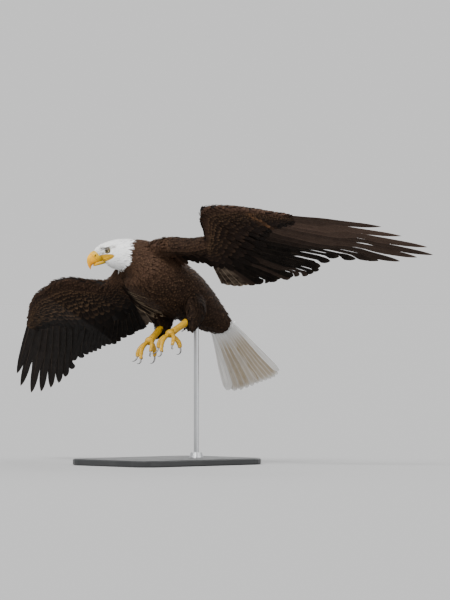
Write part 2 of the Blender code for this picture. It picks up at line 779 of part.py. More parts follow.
make_head()
neck_clearance = make_neck()
trunk_clearance = make_trunk()
make_tail(make_tail_root())
LEFT_PLAN = (LEFT_UPPER_ARM, LEFT_FOREARM, LEFT_INNER_BASES, LEFT_INNER_TIPS,
             LEFT_PRIMARY_TIPS)
RIGHT_PLAN = (RIGHT_UPPER_ARM, RIGHT_FOREARM, RIGHT_INNER_BASES, RIGHT_INNER_TIPS,
              RIGHT_PRIMARY_TIPS)
left_wing = Wing("left", 1, 1.0, LEFT_PLAN, (4.8, 8.0, 7.5), 20.0, 1.0)
right_wing = Wing("right", -1, 0.955, RIGHT_PLAN, (0.6, -6.0, -5.0), 8.0, 0.5)
make_wing(left_wing, trunk_clearance, neck_clearance)
make_wing(right_wing, trunk_clearance, neck_clearance)
make_leg("left", 1, LEFT_FOOT, trunk_clearance)
make_leg("right", -1, RIGHT_FOOT, trunk_clearance)
make_stand(trunk_clearance)
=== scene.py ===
# %% [markdown]
# # A bald eagle on a display stand
# A life-size eagle in flight, held by one rod above a flat base. The solids that carry it are
# already made. This script dresses them: one skin, thousands of feathers in the order in which
# they grow, and then the bill, the eyes, the scaled feet and the stand.

import math

import bmesh
import bpy
import numpy as np
from mathutils import Euler, Matrix, Vector
from mathutils.bvhtree import BVHTree
from mathutils.kdtree import KDTree


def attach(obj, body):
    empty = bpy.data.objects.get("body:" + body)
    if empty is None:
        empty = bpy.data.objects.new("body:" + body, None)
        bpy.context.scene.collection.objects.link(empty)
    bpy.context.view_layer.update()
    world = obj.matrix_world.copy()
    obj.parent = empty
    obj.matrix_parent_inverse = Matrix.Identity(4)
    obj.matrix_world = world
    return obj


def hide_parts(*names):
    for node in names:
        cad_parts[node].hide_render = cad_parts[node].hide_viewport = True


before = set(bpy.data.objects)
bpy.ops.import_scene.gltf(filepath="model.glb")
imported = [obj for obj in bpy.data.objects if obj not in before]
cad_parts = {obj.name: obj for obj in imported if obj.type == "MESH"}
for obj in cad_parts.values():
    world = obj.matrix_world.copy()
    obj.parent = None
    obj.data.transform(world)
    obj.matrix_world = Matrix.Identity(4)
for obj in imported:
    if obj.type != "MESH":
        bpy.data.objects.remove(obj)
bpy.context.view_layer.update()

# %% [markdown]
# ## The bird's own frame
# A bird is easiest to describe in its own frame: x to its left, y towards its tail and z up
# its back, in centimetres, with the shoulders at the origin. The head is turned and dipped,
# so it has a second frame, with its origin between the eyes.

# %% Frames of the body and the head
NOSE_UP, BANK, HEAD_DIP, HEAD_TURN = 28.0, 13.3, 38.4, 50.0
CM = 0.01

turned = Euler((math.radians(-NOSE_UP), math.radians(-BANK), 0.0), 'YXZ').to_matrix()
BODY = Matrix.Translation((0.0, -0.11, 0.62)) @ turned.to_4x4() @ Matrix.Scale(CM, 4)
turned = Euler((math.radians(HEAD_DIP), 0.0, math.radians(-HEAD_TURN)), 'ZXY').to_matrix()
HEAD = Matrix.Translation((-6.0, -9.5, 2.1)) @ turned.to_4x4()
IN_HEAD, TO_BODY, TO_HEAD = BODY @ HEAD, BODY.inverted(), HEAD.inverted()


def unit(ways):
    """Rows of vectors, each made one long."""
    ways = np.asarray(ways, float)
    return ways / np.maximum(np.linalg.norm(ways, axis=-1, keepdims=True), 1e-9)


def carried(matrix, points):
    """Rows of points carried by a matrix."""
    turn = np.array(matrix)
    return np.asarray(points, float) @ turn[:3, :3].T + turn[:3, 3]


def steered(matrix, ways):
    """Rows of directions turned by a matrix."""
    return unit(np.asarray(ways, float) @ np.array(matrix)[:3, :3].T)


def smooth(low, high, values):
    """A soft step from 0 at low to 1 at high."""
    share = np.clip((np.asarray(values, float) - low) / (high - low), 0.0, 1.0)
    return share * share * (3 - 2 * share)


def bump(offset, width):
    """A soft ridge, 1 where the offset is 0."""
    return np.exp(-(offset / width) ** 2)


def stacked(*columns):
    """Numbers or arrays side by side, as rows."""
    return np.stack(np.broadcast_arrays(*columns), -1)


# %% [markdown]
# ## Shader maths as plain expressions
# A finish is a sum of small calculations, such as how far a point is from the shaft of its
# feather. Node links are hard to read, so a class lets a node's output stand in a plain sum.

# %% A wrapper for node outputs
class Wire:
    """The output of a node, which can stand in sums."""

    def __init__(self, tree, output=None):
        self.tree, self.output = tree, output

    def put(self, socket, value):
        """Link a socket to another wire, or set it."""
        if isinstance(value, Wire):
            self.tree.links.new(value.output, socket)
        elif socket.type == 'RGBA':
            socket.default_value = (*value, 1.0)
        else:
            socket.default_value = value

    def feed(self, **values):
        """Put values in sockets of the shader, such as base_color."""
        for key, value in values.items():
            title = key.replace("_", " ").title().replace("Ior", "IOR")
            self.put(self.tree.nodes["Principled BSDF"].inputs[title], value)

    def node(self, kind, inputs, output=0, **settings):
        """Any node: its settings first, then its sockets."""
        made = self.tree.nodes.new("ShaderNode" + kind)
        for name, value in settings.items():
            setattr(made, name, value)
        for key, value in inputs.items():
            self.put(made.inputs[key], value)
        return Wire(self.tree, made.outputs[output])

    def maths(self, operation, first, second=0.0):
        return self.node("Math", {0: first, 1: second}, operation=operation)

    def __add__(self, other):
        return self.maths('ADD', self, other)

    def __sub__(self, other):
        return self.maths('SUBTRACT', self, other)

    def __rsub__(self, other):
        return self.maths('SUBTRACT', other, self)

    def __mul__(self, other):
        return self.maths('MULTIPLY', self, other)

    def most(self, other):
        """The larger of two values."""
        return self.maths('MAXIMUM', self, other)

    def wave(self):
        """The sine of the value, as ridges from 0 to 1."""
        return self.maths('SINE', self) * 0.5 + 0.5

    def step(self, low, high):
        """A soft step from 0 at low to 1 at high."""
        sockets = {"Value": self, "From Min": low, "From Max": high}
        return self.node("MapRange", sockets, interpolation_type='SMOOTHSTEP')

    def mixed(self, first, second):
        """The first colour where this value is 0, and the second where it is 1."""
        return self.node("Mix", {0: self, 6: first, 7: second}, 2, data_type='RGBA')

    def tinted(self, shade):
        """This colour times a value."""
        sockets = {0: 1.0, 6: self, 7: shade}
        return self.node("Mix", sockets, 2, data_type='RGBA', blend_type='MULTIPLY')

    def attribute(self, name, output=0):
        """A colour that the mesh carries, or a number with output 2."""
        return self.node("Attribute", {}, output, attribute_name=name)

    def vane(self):
        """How far from the shaft and how far along a feather, each from 0 to 1."""
        place = self.node("UVMap", {}, uv_map="Vane")
        across = self.node("SeparateXYZ", {0: place})
        along = Wire(self.tree, across.output.node.outputs[1])
        return self.maths('ABSOLUTE', across * 2.0 - 1.0), along

    def spots(self, scale, detail=2.0, where=None):
        """Soft noise, from about 0.3 to 0.7."""
        where = where or self.node("TexCoord", {}, 3)
        return self.node("TexNoise", {"Vector": where, "Scale": scale, "Detail": detail})

    def relief(self, height, distance, strength):
        """A bump made from a height between 0 and 1."""
        return self.node("Bump", {"Height": height, "Distance": distance, "Strength": strength})


def finish_of(name, roughness, **steady):
    """A material, and a wire to build its pattern with."""
    made = bpy.data.materials.new(name)
    made.use_nodes = True
    wire = Wire(made.node_tree)
    wire.feed(roughness=roughness, **steady)
    return made, wire


# %% [markdown]
# ## Camera, floor and light
# A large model is best shown from far off through a long lens, so that the near wing doesn't
# look bigger than the far one. Very wide suns are as soft as a cloudy sky: a strong one high on
# the left, a weak one low on the right and one behind, which lifts the plumage off the
# background. The floor's shade is worked out so that it meets the sky without a line.

# %% Camera
VIEW_TURN, VIEW_HEIGHT, DISTANCE, SENSOR = math.radians(47.3), 1.875, 16.0, 24.0
AIM = Vector((0.178, 0.083, 0.517))

look = Vector((-math.sin(VIEW_TURN), math.cos(VIEW_TURN), 0.0))
bpy.ops.object.camera_add(location=AIM - look * DISTANCE)
camera = bpy.context.object
camera.rotation_euler = look.to_track_quat('-Z', 'Y').to_euler()
camera.data.sensor_fit = 'VERTICAL'
camera.data.sensor_height = SENSOR
camera.data.lens = SENSOR * DISTANCE / VIEW_HEIGHT
camera.data.clip_end = 500.0
bpy.context.scene.camera = camera
print("lens", round(camera.data.lens, 1), "mm")

# %% Lights and floor
SKY_SHADE = 0.86
# name, turn from the camera's side, height, power, width
SUNS = (("key_sun", -35, 50, 4.5, 32), ("fill_sun", 50, 12, 1.1, 60),
        ("back_sun", 160, 38, 1.1, 40))
on_floor = 0.0
for name, turn, height, power, width in SUNS:
    angle, rise = VIEW_TURN + math.radians(turn), math.radians(height)
    source = Vector((math.sin(angle) * math.cos(rise), -math.cos(angle) * math.cos(rise),
                     math.sin(rise)))
    bpy.ops.object.light_add(type='SUN', location=AIM + source * 3.0)
    lamp = bpy.context.object
    lamp.name = name
    lamp.rotation_euler = (-source).to_track_quat('-Z', 'Y').to_euler()
    lamp.data.angle = math.radians(width)
    lamp.data.energy = power
    on_floor += power * math.sin(rise)

room = bpy.data.worlds.new("pale_room")
bpy.context.scene.world = room
room.use_nodes = True
room.node_tree.nodes["Background"].inputs["Color"].default_value = (1.0, 1.0, 1.0, 1.0)
room.node_tree.nodes["Background"].inputs["Strength"].default_value = SKY_SHADE

bpy.ops.mesh.primitive_circle_add(vertices=96, radius=400.0, fill_type='NGON')
floor = bpy.context.object
floor.name = "floor"
shade = SKY_SHADE / (SKY_SHADE + on_floor / math.pi)
matt, _ = finish_of("matt_floor", 1.0, specular_ior_level=0.0, base_color=(shade,) * 3)
floor.data.materials.append(matt)
print("floor shade", round(shade, 3))

# %% [markdown]
# ## What a feather is made of
# A feather has a stiff shaft and, on each side of it, a vane of fine barbs, which catch the
# light as slanting lines. So one finish serves all body feathers: the colours of vane and
# fringe travel with each feather, and the barbs are a bump that slants away from the shaft.

# %% The finish of body feathers
def feather_finish(name, barbs, roughness, shaft, contrast):
    """Vanes with slanting barbs, a fringe round the tip and a thin shaft."""
    made, wire = finish_of(name, roughness, specular_ior_level=0.06)
    side, along = wire.vane()
    fringe = (side * 0.93).most(along).step(0.7, 0.97) * along.step(0.25, 0.6)
    ridges = (along * barbs - side * barbs * 0.28).wave()
    streaks = wire.spots(420.0, 3.0).step(0.3, 0.7)
    colour = fringe.mixed(wire.attribute("tone"), wire.attribute("fringe"))
    shade = ridges * (contrast * 0.35) + streaks * (contrast * 0.65) + (1.06 - contrast * 0.85)
    line = (1.0 - side.step(0.0, 0.13)) * shaft
    wire.feed(base_color=line.mixed(colour.tinted(shade), wire.attribute("fringe")),
              normal=wire.relief(ridges * 0.5 + streaks * 0.5, 0.0006, 0.5))
    return made


BROWN = (feather_finish("brown_plumage", 95.0, 0.62, 0.25, 0.5), "plumage_brown")
PALE = (feather_finish("white_plumage", 80.0, 0.7, 0.1, 0.16), "plumage_white")
print("feather finishes", BROWN[0].name, PALE[0].name)

# %% [markdown]
# ## The markings
# An adult's head is white down to a ragged line round the neck, and the body is chocolate
# brown, warmer on the breast and darker on the belly. The skin and the feathers have to agree,
# so both ask one function for the colour of a place.

# %% Colours by place
def rgb(*values):
    """A colour."""
    return np.array(values)


WHITE, SHADED_WHITE = rgb(0.95, 0.95, 0.94), rgb(0.62, 0.62, 0.61)
NECK_BROWN, BODY_BROWN = rgb(0.050, 0.027, 0.017), rgb(0.022, 0.012, 0.0078)
BELLY_BROWN, EDGE_BROWN = rgb(0.0135, 0.008, 0.0055), rgb(0.028, 0.0155, 0.0105)
COVERT_BROWN, QUILL_BROWN = rgb(0.009, 0.0053, 0.0039), rgb(0.0036, 0.0023, 0.0017)
# gold: the fringes of the coverts, and on the body feathers painted highlight on their edges
GOLD_FRINGE_AND_GLINT, SMUDGE_AND_SHADOW_BROWN = rgb(0.13, 0.077, 0.042), rgb(0.10, 0.07, 0.03)
YELLOW = rgb(0.50, 0.27, 0.008)
# centimetres in the body's frame and in the head's
TAIL_LINE, FACE_MIDDLE, BILL_ROOT = (37.1, 37.5), (0.0, -1.0, -1.0), (0.0, -6.5, -0.6)


def painted(colour, *layers):
    """A colour with others laid over it, each as (colour, share)."""
    for layer, share in layers:
        share = np.asarray(share)[..., None]
        colour = colour * (1 - share) + layer * share
    return colour


def mixed(first, second, share):
    """Rows between two rows, such as colours."""
    return painted(first, (second, share))


def whiteness(points, ragged=0.0):
    """1 in front of the line of the white, 0 behind it."""
    x, aft, up = carried(TO_HEAD, points).T
    line = np.minimum(8.0 - 0.36 * (3.2 - up), 5.2 + 3.2 * (up + 5.35)) + ragged
    on_neck = smooth(4.8, 4.3, np.abs(x)) * smooth(16.0, 13.0, np.hypot(aft, up))
    return smooth(0.25, -0.25, aft - line) * on_neck


def tail_whiteness(points, ragged=0.0):
    """1 behind the line where the brown body gives way to the white tail."""
    return smooth(*TAIL_LINE, points[:, 1] + ragged * 0.6)


def markings(points, ragged=0.0):
    """The colour of the plumage at points in the body's frame."""
    x, aft, up = points.T
    low = smooth(1.0, -7.5, up)
    throat = smooth(-3.0, -8.0, carried(TO_HEAD, points)[:, 2])
    return painted(BODY_BROWN, (BELLY_BROWN, smooth(6.0, 20.0, aft) * (0.35 + 0.65 * low)),
                   (NECK_BROWN, smooth(11.0, 0.0, aft + low * 4.0)),
                   (BODY_BROWN * 0.9, smooth(27.0, 35.0, aft)),
                   (WHITE, tail_whiteness(points, ragged)),
                   (mixed(WHITE, SHADED_WHITE, throat * 0.7), whiteness(points, ragged)))


def smudge_and_brow_shadow(points):
    """How dark the face is before, behind and over the eye, from 0 to 1: dark marks before and
    behind it, and painted shadow of the brow over it.
    """
    x, aft, up = carried(TO_HEAD, points).T
    before = bump(aft + 2.1, 0.9) * bump(up + 0.62 + 0.12 * aft, 0.3)
    behind = bump(aft - 1.45, 0.55) * bump(up - 0.62, 0.42)
    # painted shadow of the brow over the eye
    over = bump(aft + 0.35, 1.3) * bump(up - 0.92 - 0.12 * aft, 0.3)
    return np.clip(before * 1.1 + behind + over * 1.3, 0.0, 1.0) * (np.abs(x) > 1.0)


print("white at the crown", whiteness(carried(HEAD, [(0.0, 2.0, 2.5), (0.0, 12.0, 1.0)])))

# %% [markdown]
# ## One skin
# Under the plumage a bird has one continuous skin. It could be sculpted, but it exists in
# pieces: copies of the solids, swollen a little so that they touch, are melted together by the
# Remesh modifier. The bones over the eyes are added first, as stretched spheres. The legs are
# melted apart from the body, in smaller cells, because toes are thin.

# %% Melt the flesh together
# in metres
BODY_SWELL, BODY_CELL, LEG_SWELL, LEG_CELL, MERGE = 0.0005, 0.0039, 0.0004, 0.0018, 0.00002
ALL_TOES = ("inner", "middle", "outer", "hind")
SIDES = (("left", 1), ("right", -1))
TORSO, LEGS = ["head", "neck", "trunk", "tail_root"], []
for name, _ in SIDES:
    TORSO += [f"{name}_{part}" for part in ("upper_arm", "forearm", "hand", "thigh")]
    LEGS += [f"{name}_tarsus", f"{name}_foot"] + [f"{name}_toe_{toe}" for toe in ALL_TOES]


def chosen(*pieces):
    """Select these pieces and nothing else, the first one active."""
    bpy.ops.object.select_all(action='DESELECT')
    for piece in reversed(pieces):
        piece.select_set(True)
        bpy.context.view_layer.objects.active = piece


def placed(name, mesh):
    """A new object for a mesh."""
    made = bpy.data.objects.new(name, mesh)
    bpy.context.collection.objects.link(made)
    return made


def copied(name, nodes, swell=0.0):
    """One object made of merged copies of solids, swollen along their normals."""
    bm = bmesh.new()
    for node in nodes:
        bm.from_mesh(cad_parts[node].data)
    bmesh.ops.remove_doubles(bm, verts=bm.verts, dist=MERGE)
    bm.normal_update()
    for v in bm.verts:
        v.co += v.normal * swell
    mesh = bpy.data.meshes.new(name)
    bm.to_mesh(mesh)
    bm.free()
    return placed(name, mesh)


def lump(matrix, place, size, turn=(0.0, 0.0, 0.0)):
    """A stretched sphere in the frame that a matrix gives, sizes in centimetres."""
    chosen()
    bpy.ops.mesh.primitive_uv_sphere_add(segments=20, ring_count=12, radius=1.0)
    made = bpy.context.object
    shape = Euler([math.radians(a) for a in turn]).to_matrix().to_4x4()
    made.matrix_world = matrix @ Matrix.Translation(place) @ shape @ Matrix.Diagonal((*size, 1.0))
    bpy.ops.object.transform_apply(location=True, rotation=True, scale=True)
    return made


def with_modifier(piece, kind, **settings):
    """Add a modifier to a piece and apply it."""
    chosen(piece)
    modifier = piece.modifiers.new(kind.lower(), kind)
    for key, value in settings.items():
        setattr(modifier, key, value)
    bpy.ops.object.modifier_apply(modifier=modifier.name)


def melted(piece, lumps, cell, passes):
    """Melt a piece and some lumps into one smooth surface."""
    chosen(piece, *lumps)
    bpy.ops.object.join()
    with_modifier(piece, 'REMESH', mode='VOXEL', voxel_size=cell)
    with_modifier(piece, 'SMOOTH', factor=0.5, iterations=passes)


skin, ridges = copied("skin", TORSO, BODY_SWELL), []
for _, side in SIDES:
    ridges.append(lump(IN_HEAD, (side * 2.5, -0.5, 1.3), (0.95, 2.2, 0.42), (-15, 0, side * 9)))
    ridges.append(lump(IN_HEAD, (side * 2.3, 0.3, -2.2), (0.9, 2.6, 1.7)))
melted(skin, ridges, BODY_CELL, passes=6)
print("body flesh", len(skin.data.vertices), "points")

# %% Draw the skin in by the depth of the coat
def coat_depth(points):
    """How far the skin lies inside the outline, in centimetres, by place."""
    x, aft, up = points.T
    _, back, rise = carried(TO_HEAD, points).T
    reach = np.hypot(back + 1.0, rise + 1.0)
    depth = 0.12 + 0.3 * smooth(2.0, 8.0, reach) + 0.35 * smooth(8.0, 16.0, reach)
    wing = smooth(9.0, 15.0, np.abs(x))
    return depth * (1 - wing) + 0.32 * wing


def rows_of(items, key):
    """Vectors read from parts of a mesh."""
    found = np.empty(len(items) * 3)
    items.foreach_get(key, found)
    return found.reshape(-1, 3)


def shape_of(mesh):
    """A mesh's points and normals in the body's frame."""
    normals = steered(TO_BODY, rows_of(mesh.vertex_normals, "vector"))
    return carried(TO_BODY, rows_of(mesh.vertices, "co")), normals


def tree_of(mesh, points):
    """A search tree over a mesh's faces."""
    return BVHTree.FromPolygons(points.tolist(), [tuple(f.vertices) for f in mesh.polygons])


def set_points(mesh, points):
    """Put a mesh's points at places given in the body's frame."""
    mesh.vertices.foreach_set("co", carried(BODY, points).ravel())
    mesh.update()


points, normals = shape_of(skin.data)
tree = tree_of(skin.data, points)
room_behind = np.full(len(points), 20.0)
for i, (place, way) in enumerate(zip(points, normals)):
    hit = tree.ray_cast(place - way * 0.05, -way, 20.0)
    if hit[0] is not None:
        room_behind[i] = hit[3]
drawn = np.minimum(coat_depth(points), room_behind * 0.3)
set_points(skin.data, points - normals * drawn[:, None])
with_modifier(skin, 'SMOOTH', factor=0.5, iterations=2)
print("thinnest place", round(float(room_behind.min()), 2), "cm")

# %% [markdown]
# Toes have a fat pad under each joint, which is what grips, so spheres are set along their
# underside before the legs are melted. Each toe follows an arc, as its solid does.

# %% Legs and feet
DOWN = Vector((0.0, 0.0, -1.0))
HEEL = (5.9, 19.0, -10.6)
FEET = {"left": (5.2, 13.2, -18.2), "right": (4.9, 14.6, -17.8)}
# name, root beside the palm, heading as (out, aft, up), length, radius
TOES = [
    ("inner", (-1.55, -0.5, -0.95), (-0.62, -0.35, -0.75), 4.6, 0.74),
    ("middle", (0.0, -1.15, -1.3), (0.0, -0.55, -0.85), 6.6, 0.76),
    ("outer", (1.6, -0.4, -0.95), (0.7, -0.25, -0.75), 5.0, 0.7),
    ("hind", (0.15, 1.7, -0.4), (0.3, 0.9, -0.25), 4.0, 0.8),
]
TOE_CURL, PAD_SIZES = math.radians(50.0), (0.72, 0.72, 0.72, 0.62)


def sided(side, place):
    """A place of the left side, mirrored for the right one."""
    return Vector((side * place[0], place[1], place[2]))


def toe_line(start, heading, length):
    """Places along a toe, the way it points at each, and the way to its upper side."""
    ahead = heading.normalized()
    across = ahead.cross(DOWN).normalized()
    under = across.cross(ahead)
    found = [(start, ahead.copy(), -under)]
    for i in range(4):
        angle = TOE_CURL * i / 3
        way = ahead * math.cos(angle) + under * math.sin(angle)
        top = way.cross(across)
        top = -top if top.dot(under) > 0 else top
        found.append((found[-1][0] + way * length / 4, way, top))
    return found


toe_lines, pads = {}, []
for name, side in SIDES:
    for toe, root, heading, length, radius in TOES:
        line = toe_line(sided(side, FEET[name]) + sided(side, root), sided(side, heading), length)
        toe_lines[name, toe] = (line, radius)
        for (place, way, top), size in zip(line[1:], PAD_SIZES):
            under = place - top * radius * 0.42 - way * 0.2
            pads.append(lump(BODY, under, (radius * size,) * 3))
legs = copied("leg_flesh", LEGS, LEG_SWELL)
melted(legs, pads, LEG_CELL, passes=5)
for piece, bare in ((skin, 0.0), (legs, 1.0)):
    mark = piece.data.attributes.new("bare", 'FLOAT', 'POINT')
    mark.data.foreach_set("value", [bare] * len(mark.data))
chosen(skin, legs)
bpy.ops.object.join()
print("skin", len(skin.data.vertices), "points")

# %% [markdown]
# ## The face
# The eye is set under a sharp brow, and from the bill a patch of bare yellow skin runs back
# beneath it: the gape. Its fold is real relief, so the skin there is divided finely first.

# %% Fold the skin of the face
FACE_REACH = 7.0


def gape_share(points):
    """How far inside the bare yellow patch a point of the head's frame lies, from 0 to 1."""
    x, aft, up = points.T
    middle = -1.85 - 0.05 * (aft + 2.0)
    half = 1.22 * np.sqrt(np.clip(1.0 - (np.maximum(aft + 3.0, 0.0) / 4.5) ** 2, 0.0, 1.0))
    inside = smooth(half + 0.1, half - 0.14, np.abs(up - middle)) * smooth(1.6, 1.4, aft)
    near = np.linalg.norm(points, axis=1) < FACE_REACH
    return inside * smooth(0.6, 1.2, np.abs(x)) * near


def folded(points):
    """Depth of the folds of the face, in centimetres, for points of the head's frame."""
    x, aft, up = points.T
    over = up + 2.45 - 0.05 * (aft + 2.0)
    lips = (bump(over - 0.2, 0.16) + bump(over + 0.2, 0.16)) * 0.09 - bump(over, 0.08) * 0.12
    here = smooth(1.6, 0.8, aft) * smooth(0.8, 1.4, np.abs(x))
    return lips * here - bump(aft + 2.3, 1.1) * bump(up + 0.15, 0.7) * 0.16


chosen(skin)
bpy.ops.object.mode_set(mode='EDIT')
bm = bmesh.from_edit_mesh(skin.data)
to_head = IN_HEAD.inverted()
for face in bm.faces:
    x, aft, up = to_head @ face.calc_center_median()
    face.select_set(-5.5 < aft < 3.0 and -4.5 < up < 2.5 and abs(x) > 0.7)
bmesh.update_edit_mesh(skin.data)
bpy.ops.mesh.subdivide(number_cuts=2, smoothness=0.0)
bpy.ops.object.mode_set(mode='OBJECT')

points, normals = shape_of(skin.data)
in_head = carried(TO_HEAD, points)
near = np.linalg.norm(in_head, axis=1) < FACE_REACH
set_points(skin.data, points + normals * (folded(in_head) * near)[:, None])
chosen(skin)
bpy.ops.object.shade_smooth()
print("skin now", len(skin.data.vertices), "points")

# %% [markdown]
# ## Colour and map of the skin
# The skin carries the markings of the plumage above it, and yellow on the gape and the legs.
# It also gets a map, an unwrap of its shape. Each feather takes a small patch of it at its
# root, so that a baked picture of the feathers lies in the order in which they do.

# %% Colour and unwrap the skin
def colour_attribute(mesh, name, colours):
    """Give every point of a mesh a colour."""
    filled = np.ones((len(mesh.vertices), 4), np.float32)
    filled[:, :3] = colours
    made = mesh.color_attributes.new(name, 'FLOAT_COLOR', 'POINT')
    made.data.foreach_set("color", filled.ravel())


mesh = skin.data
skin_points, _ = shape_of(mesh)
in_head = carried(TO_HEAD, skin_points)
bare = np.empty(len(skin_points))
mesh.attributes["bare"].data.foreach_get("value", bare)
naked = np.maximum(bare, gape_share(in_head))
wing_part = smooth(9.5, 12.0, np.abs(skin_points[:, 0])) * (1 - bare)
tone = mixed(markings(skin_points), COVERT_BROWN * 0.6, wing_part) * 0.85
on_face = (np.linalg.norm(in_head, axis=1) < FACE_REACH) * 0.8
# the dark marks by the eye, with the painted shadow of the brow
tone = painted(tone, (YELLOW, naked), (SMUDGE_AND_SHADOW_BROWN, smudge_and_brow_shadow(skin_points) * on_face))
colour_attribute(mesh, "tone", tone)
mesh.attributes["bare"].data.foreach_set("value", naked)

bpy.ops.object.mode_set(mode='EDIT')
bpy.ops.mesh.select_all(action='SELECT')
mesh.uv_layers.new(name="OFBake")
bpy.ops.uv.smart_project(angle_limit=math.radians(66), island_margin=0.002)
bpy.ops.object.mode_set(mode='OBJECT')

# %% The finish of the skin
def shown(piece, finish, *nodes):
    """Give a piece its finish and its body, and hide the solids that it stands for."""
    material, slot = finish
    piece.data.materials.clear()
    piece.data.materials.append(material)
    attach(piece, "root")
    if nodes:
        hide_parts(*nodes)
    print(piece.name, len(piece.data.polygons), "faces")


skin_finish, wire = finish_of("living_skin", 0.5, specular_ior_level=0.12)
nude = wire.attribute("bare", 2)
scales = wire.node("TexVoronoi", {"Vector": wire.node("TexCoord", {}, 3), "Scale": 430.0})
grain = scales * nude + wire.spots(900.0, 3.0) * (1.0 - nude)
mottle = wire.spots(120.0, 4.0).step(0.25, 0.75)
wire.feed(base_color=wire.attribute("tone").tinted(mottle * 0.3 + scales * 0.25 + 0.65),
          normal=wire.relief(grain, 0.0008, 0.7), roughness=nude * -0.12 + 0.55)
shown(skin, (skin_finish, "plumage_brown"), *TORSO, *LEGS)

# %% [markdown]
# ## A pattern for small feathers
# Thousands of small feathers are one thing at many sizes. So one pattern is made for each
# kind, as rings of points along the shaft, and is laid on the skin as often as needed by
# arithmetic on whole arrays. Every point is set a chosen height above the nearest skin, which
# bends the feather round the body and over the roots of the next.

# %% Patterns
class Plume:
    """The pattern of a small feather, from the widths at places along it."""

    def __init__(self, rows, columns, thick=0.03):
        along, widths = np.array(rows).T
        top = np.linspace(-1.0, 1.0, columns)
        ring = np.concatenate([top, top[-2:0:-1]])
        sheet = np.concatenate([np.zeros(columns), -thick * (1 - top[-2:0:-1] ** 2)])
        count, size = len(along), len(ring)
        self.across = np.append(np.tile(ring, count), 0.0)
        self.along = np.append(np.repeat(along, size), 1.0)
        self.width = np.append(np.repeat(widths, size), 0.0)
        self.row = np.append(np.repeat(np.arange(count), size), count)
        self.sheet = np.append(np.tile(sheet, count), 0.0)
        self.size = len(self.row)
        turn = np.arange(size)
        after = (turn + 1) % size
        near = (np.arange(count - 1) * size)[:, None]
        far, last = near + size, (count - 1) * size
        self.faces = np.concatenate([
            stacked(near + turn, near + after, far + after).reshape(-1, 3),
            stacked(near + turn, far + after, far + turn).reshape(-1, 3),
            stacked(last + turn, last + after, count * size), stacked(0, turn[2:], turn[1:-1])])


ROUND = Plume([(0, .35), (.26, .78), (.52, 1), (.74, .95), (.9, .66)], 5)
LANCE = Plume([(0, .35), (.25, .8), (.5, 1), (.72, .82), (.89, .48)], 3)
SMALL = Plume([(0, .5), (.4, 1), (.8, .72)], 3)
print("triangles in a feather", len(ROUND.faces), len(LANCE.faces), len(SMALL.faces))

# %% Weave feathers into one mesh
face_map = np.array([np.mean([mesh.uv_layers["OFBake"].data[i].uv for i in f.loop_indices],
                             axis=0) for f in mesh.polygons])
skin_tree = tree_of(mesh, skin_points)
PATCH, CREASE, TILT, CUP = 0.003, math.radians(62), 0.045, 0.10
draw = np.random.default_rng(7)


def woven(name, points, faces, vane, bake, tone, fringe, finish, *nodes):
    """A joined mesh from arrays: points in the body's frame, and values for each point."""
    mesh = bpy.data.meshes.new(name)
    mesh.vertices.add(len(points))
    mesh.vertices.foreach_set("co", carried(BODY, points).ravel())
    mesh.loops.add(faces.size)
    mesh.loops.foreach_set("vertex_index", faces.ravel())
    mesh.polygons.add(len(faces))
    mesh.polygons.foreach_set("loop_start", np.arange(0, faces.size, 3))
    mesh.update(calc_edges=True)
    for layer, values in (("OFBake", bake), ("Vane", vane)):
        made = mesh.uv_layers.new(name=layer)
        made.data.foreach_set("uv", values[faces.ravel()].astype(np.float32).ravel())
    colour_attribute(mesh, "tone", tone)
    colour_attribute(mesh, "fringe", fringe)
    made = placed(name, mesh)
    chosen(made)
    bpy.ops.object.shade_smooth_by_angle(angle=CREASE)
    shown(made, finish, *nodes)


def hugging(points, heights):
    """Points moved to stand a height off the skin."""
    found = np.empty_like(points)
    for i, (point, height) in enumerate(zip(points.tolist(), heights.tolist())):
        place, way, _, _ = skin_tree.find_nearest(point)
        found[i] = place + way * height
    return found


def facing_out(points, faces, size):
    """Faces with those of every inside-out feather turned round; a feather has size points."""
    owner = faces[:, 0] // size
    middle = points.reshape(-1, size, 3).mean(axis=1)
    a, b, c = (points[faces[:, k]] - middle[owner] for k in range(3))
    volume = np.bincount(owner, np.sum(a * np.cross(b, c), axis=1))
    return np.where((volume[owner] < 0)[:, None], faces[:, ::-1], faces)


def laid(name, plume, points, roots, tone, fringe, finish):
    """Weave feathers of one pattern, whose points and roots are known."""
    count, size = len(roots), plume.size
    points = points.reshape(-1, 3)
    faces = (plume.faces[None] + (np.arange(count) * size)[:, None, None]).reshape(-1, 3)
    spot = np.stack([plume.across * 0.5, plume.along - 0.5], 1)
    under = [skin_tree.find_nearest(root)[2] for root in roots.tolist()]
    bake = (face_map[under][:, None] + spot * PATCH).reshape(-1, 2)
    woven(name, points, facing_out(points, faces, size), np.tile(spot + 0.5, (count, 1)),
          np.clip(bake, 0.0, 1.0), np.repeat(tone, size, 0), np.repeat(fringe, size, 0), finish)


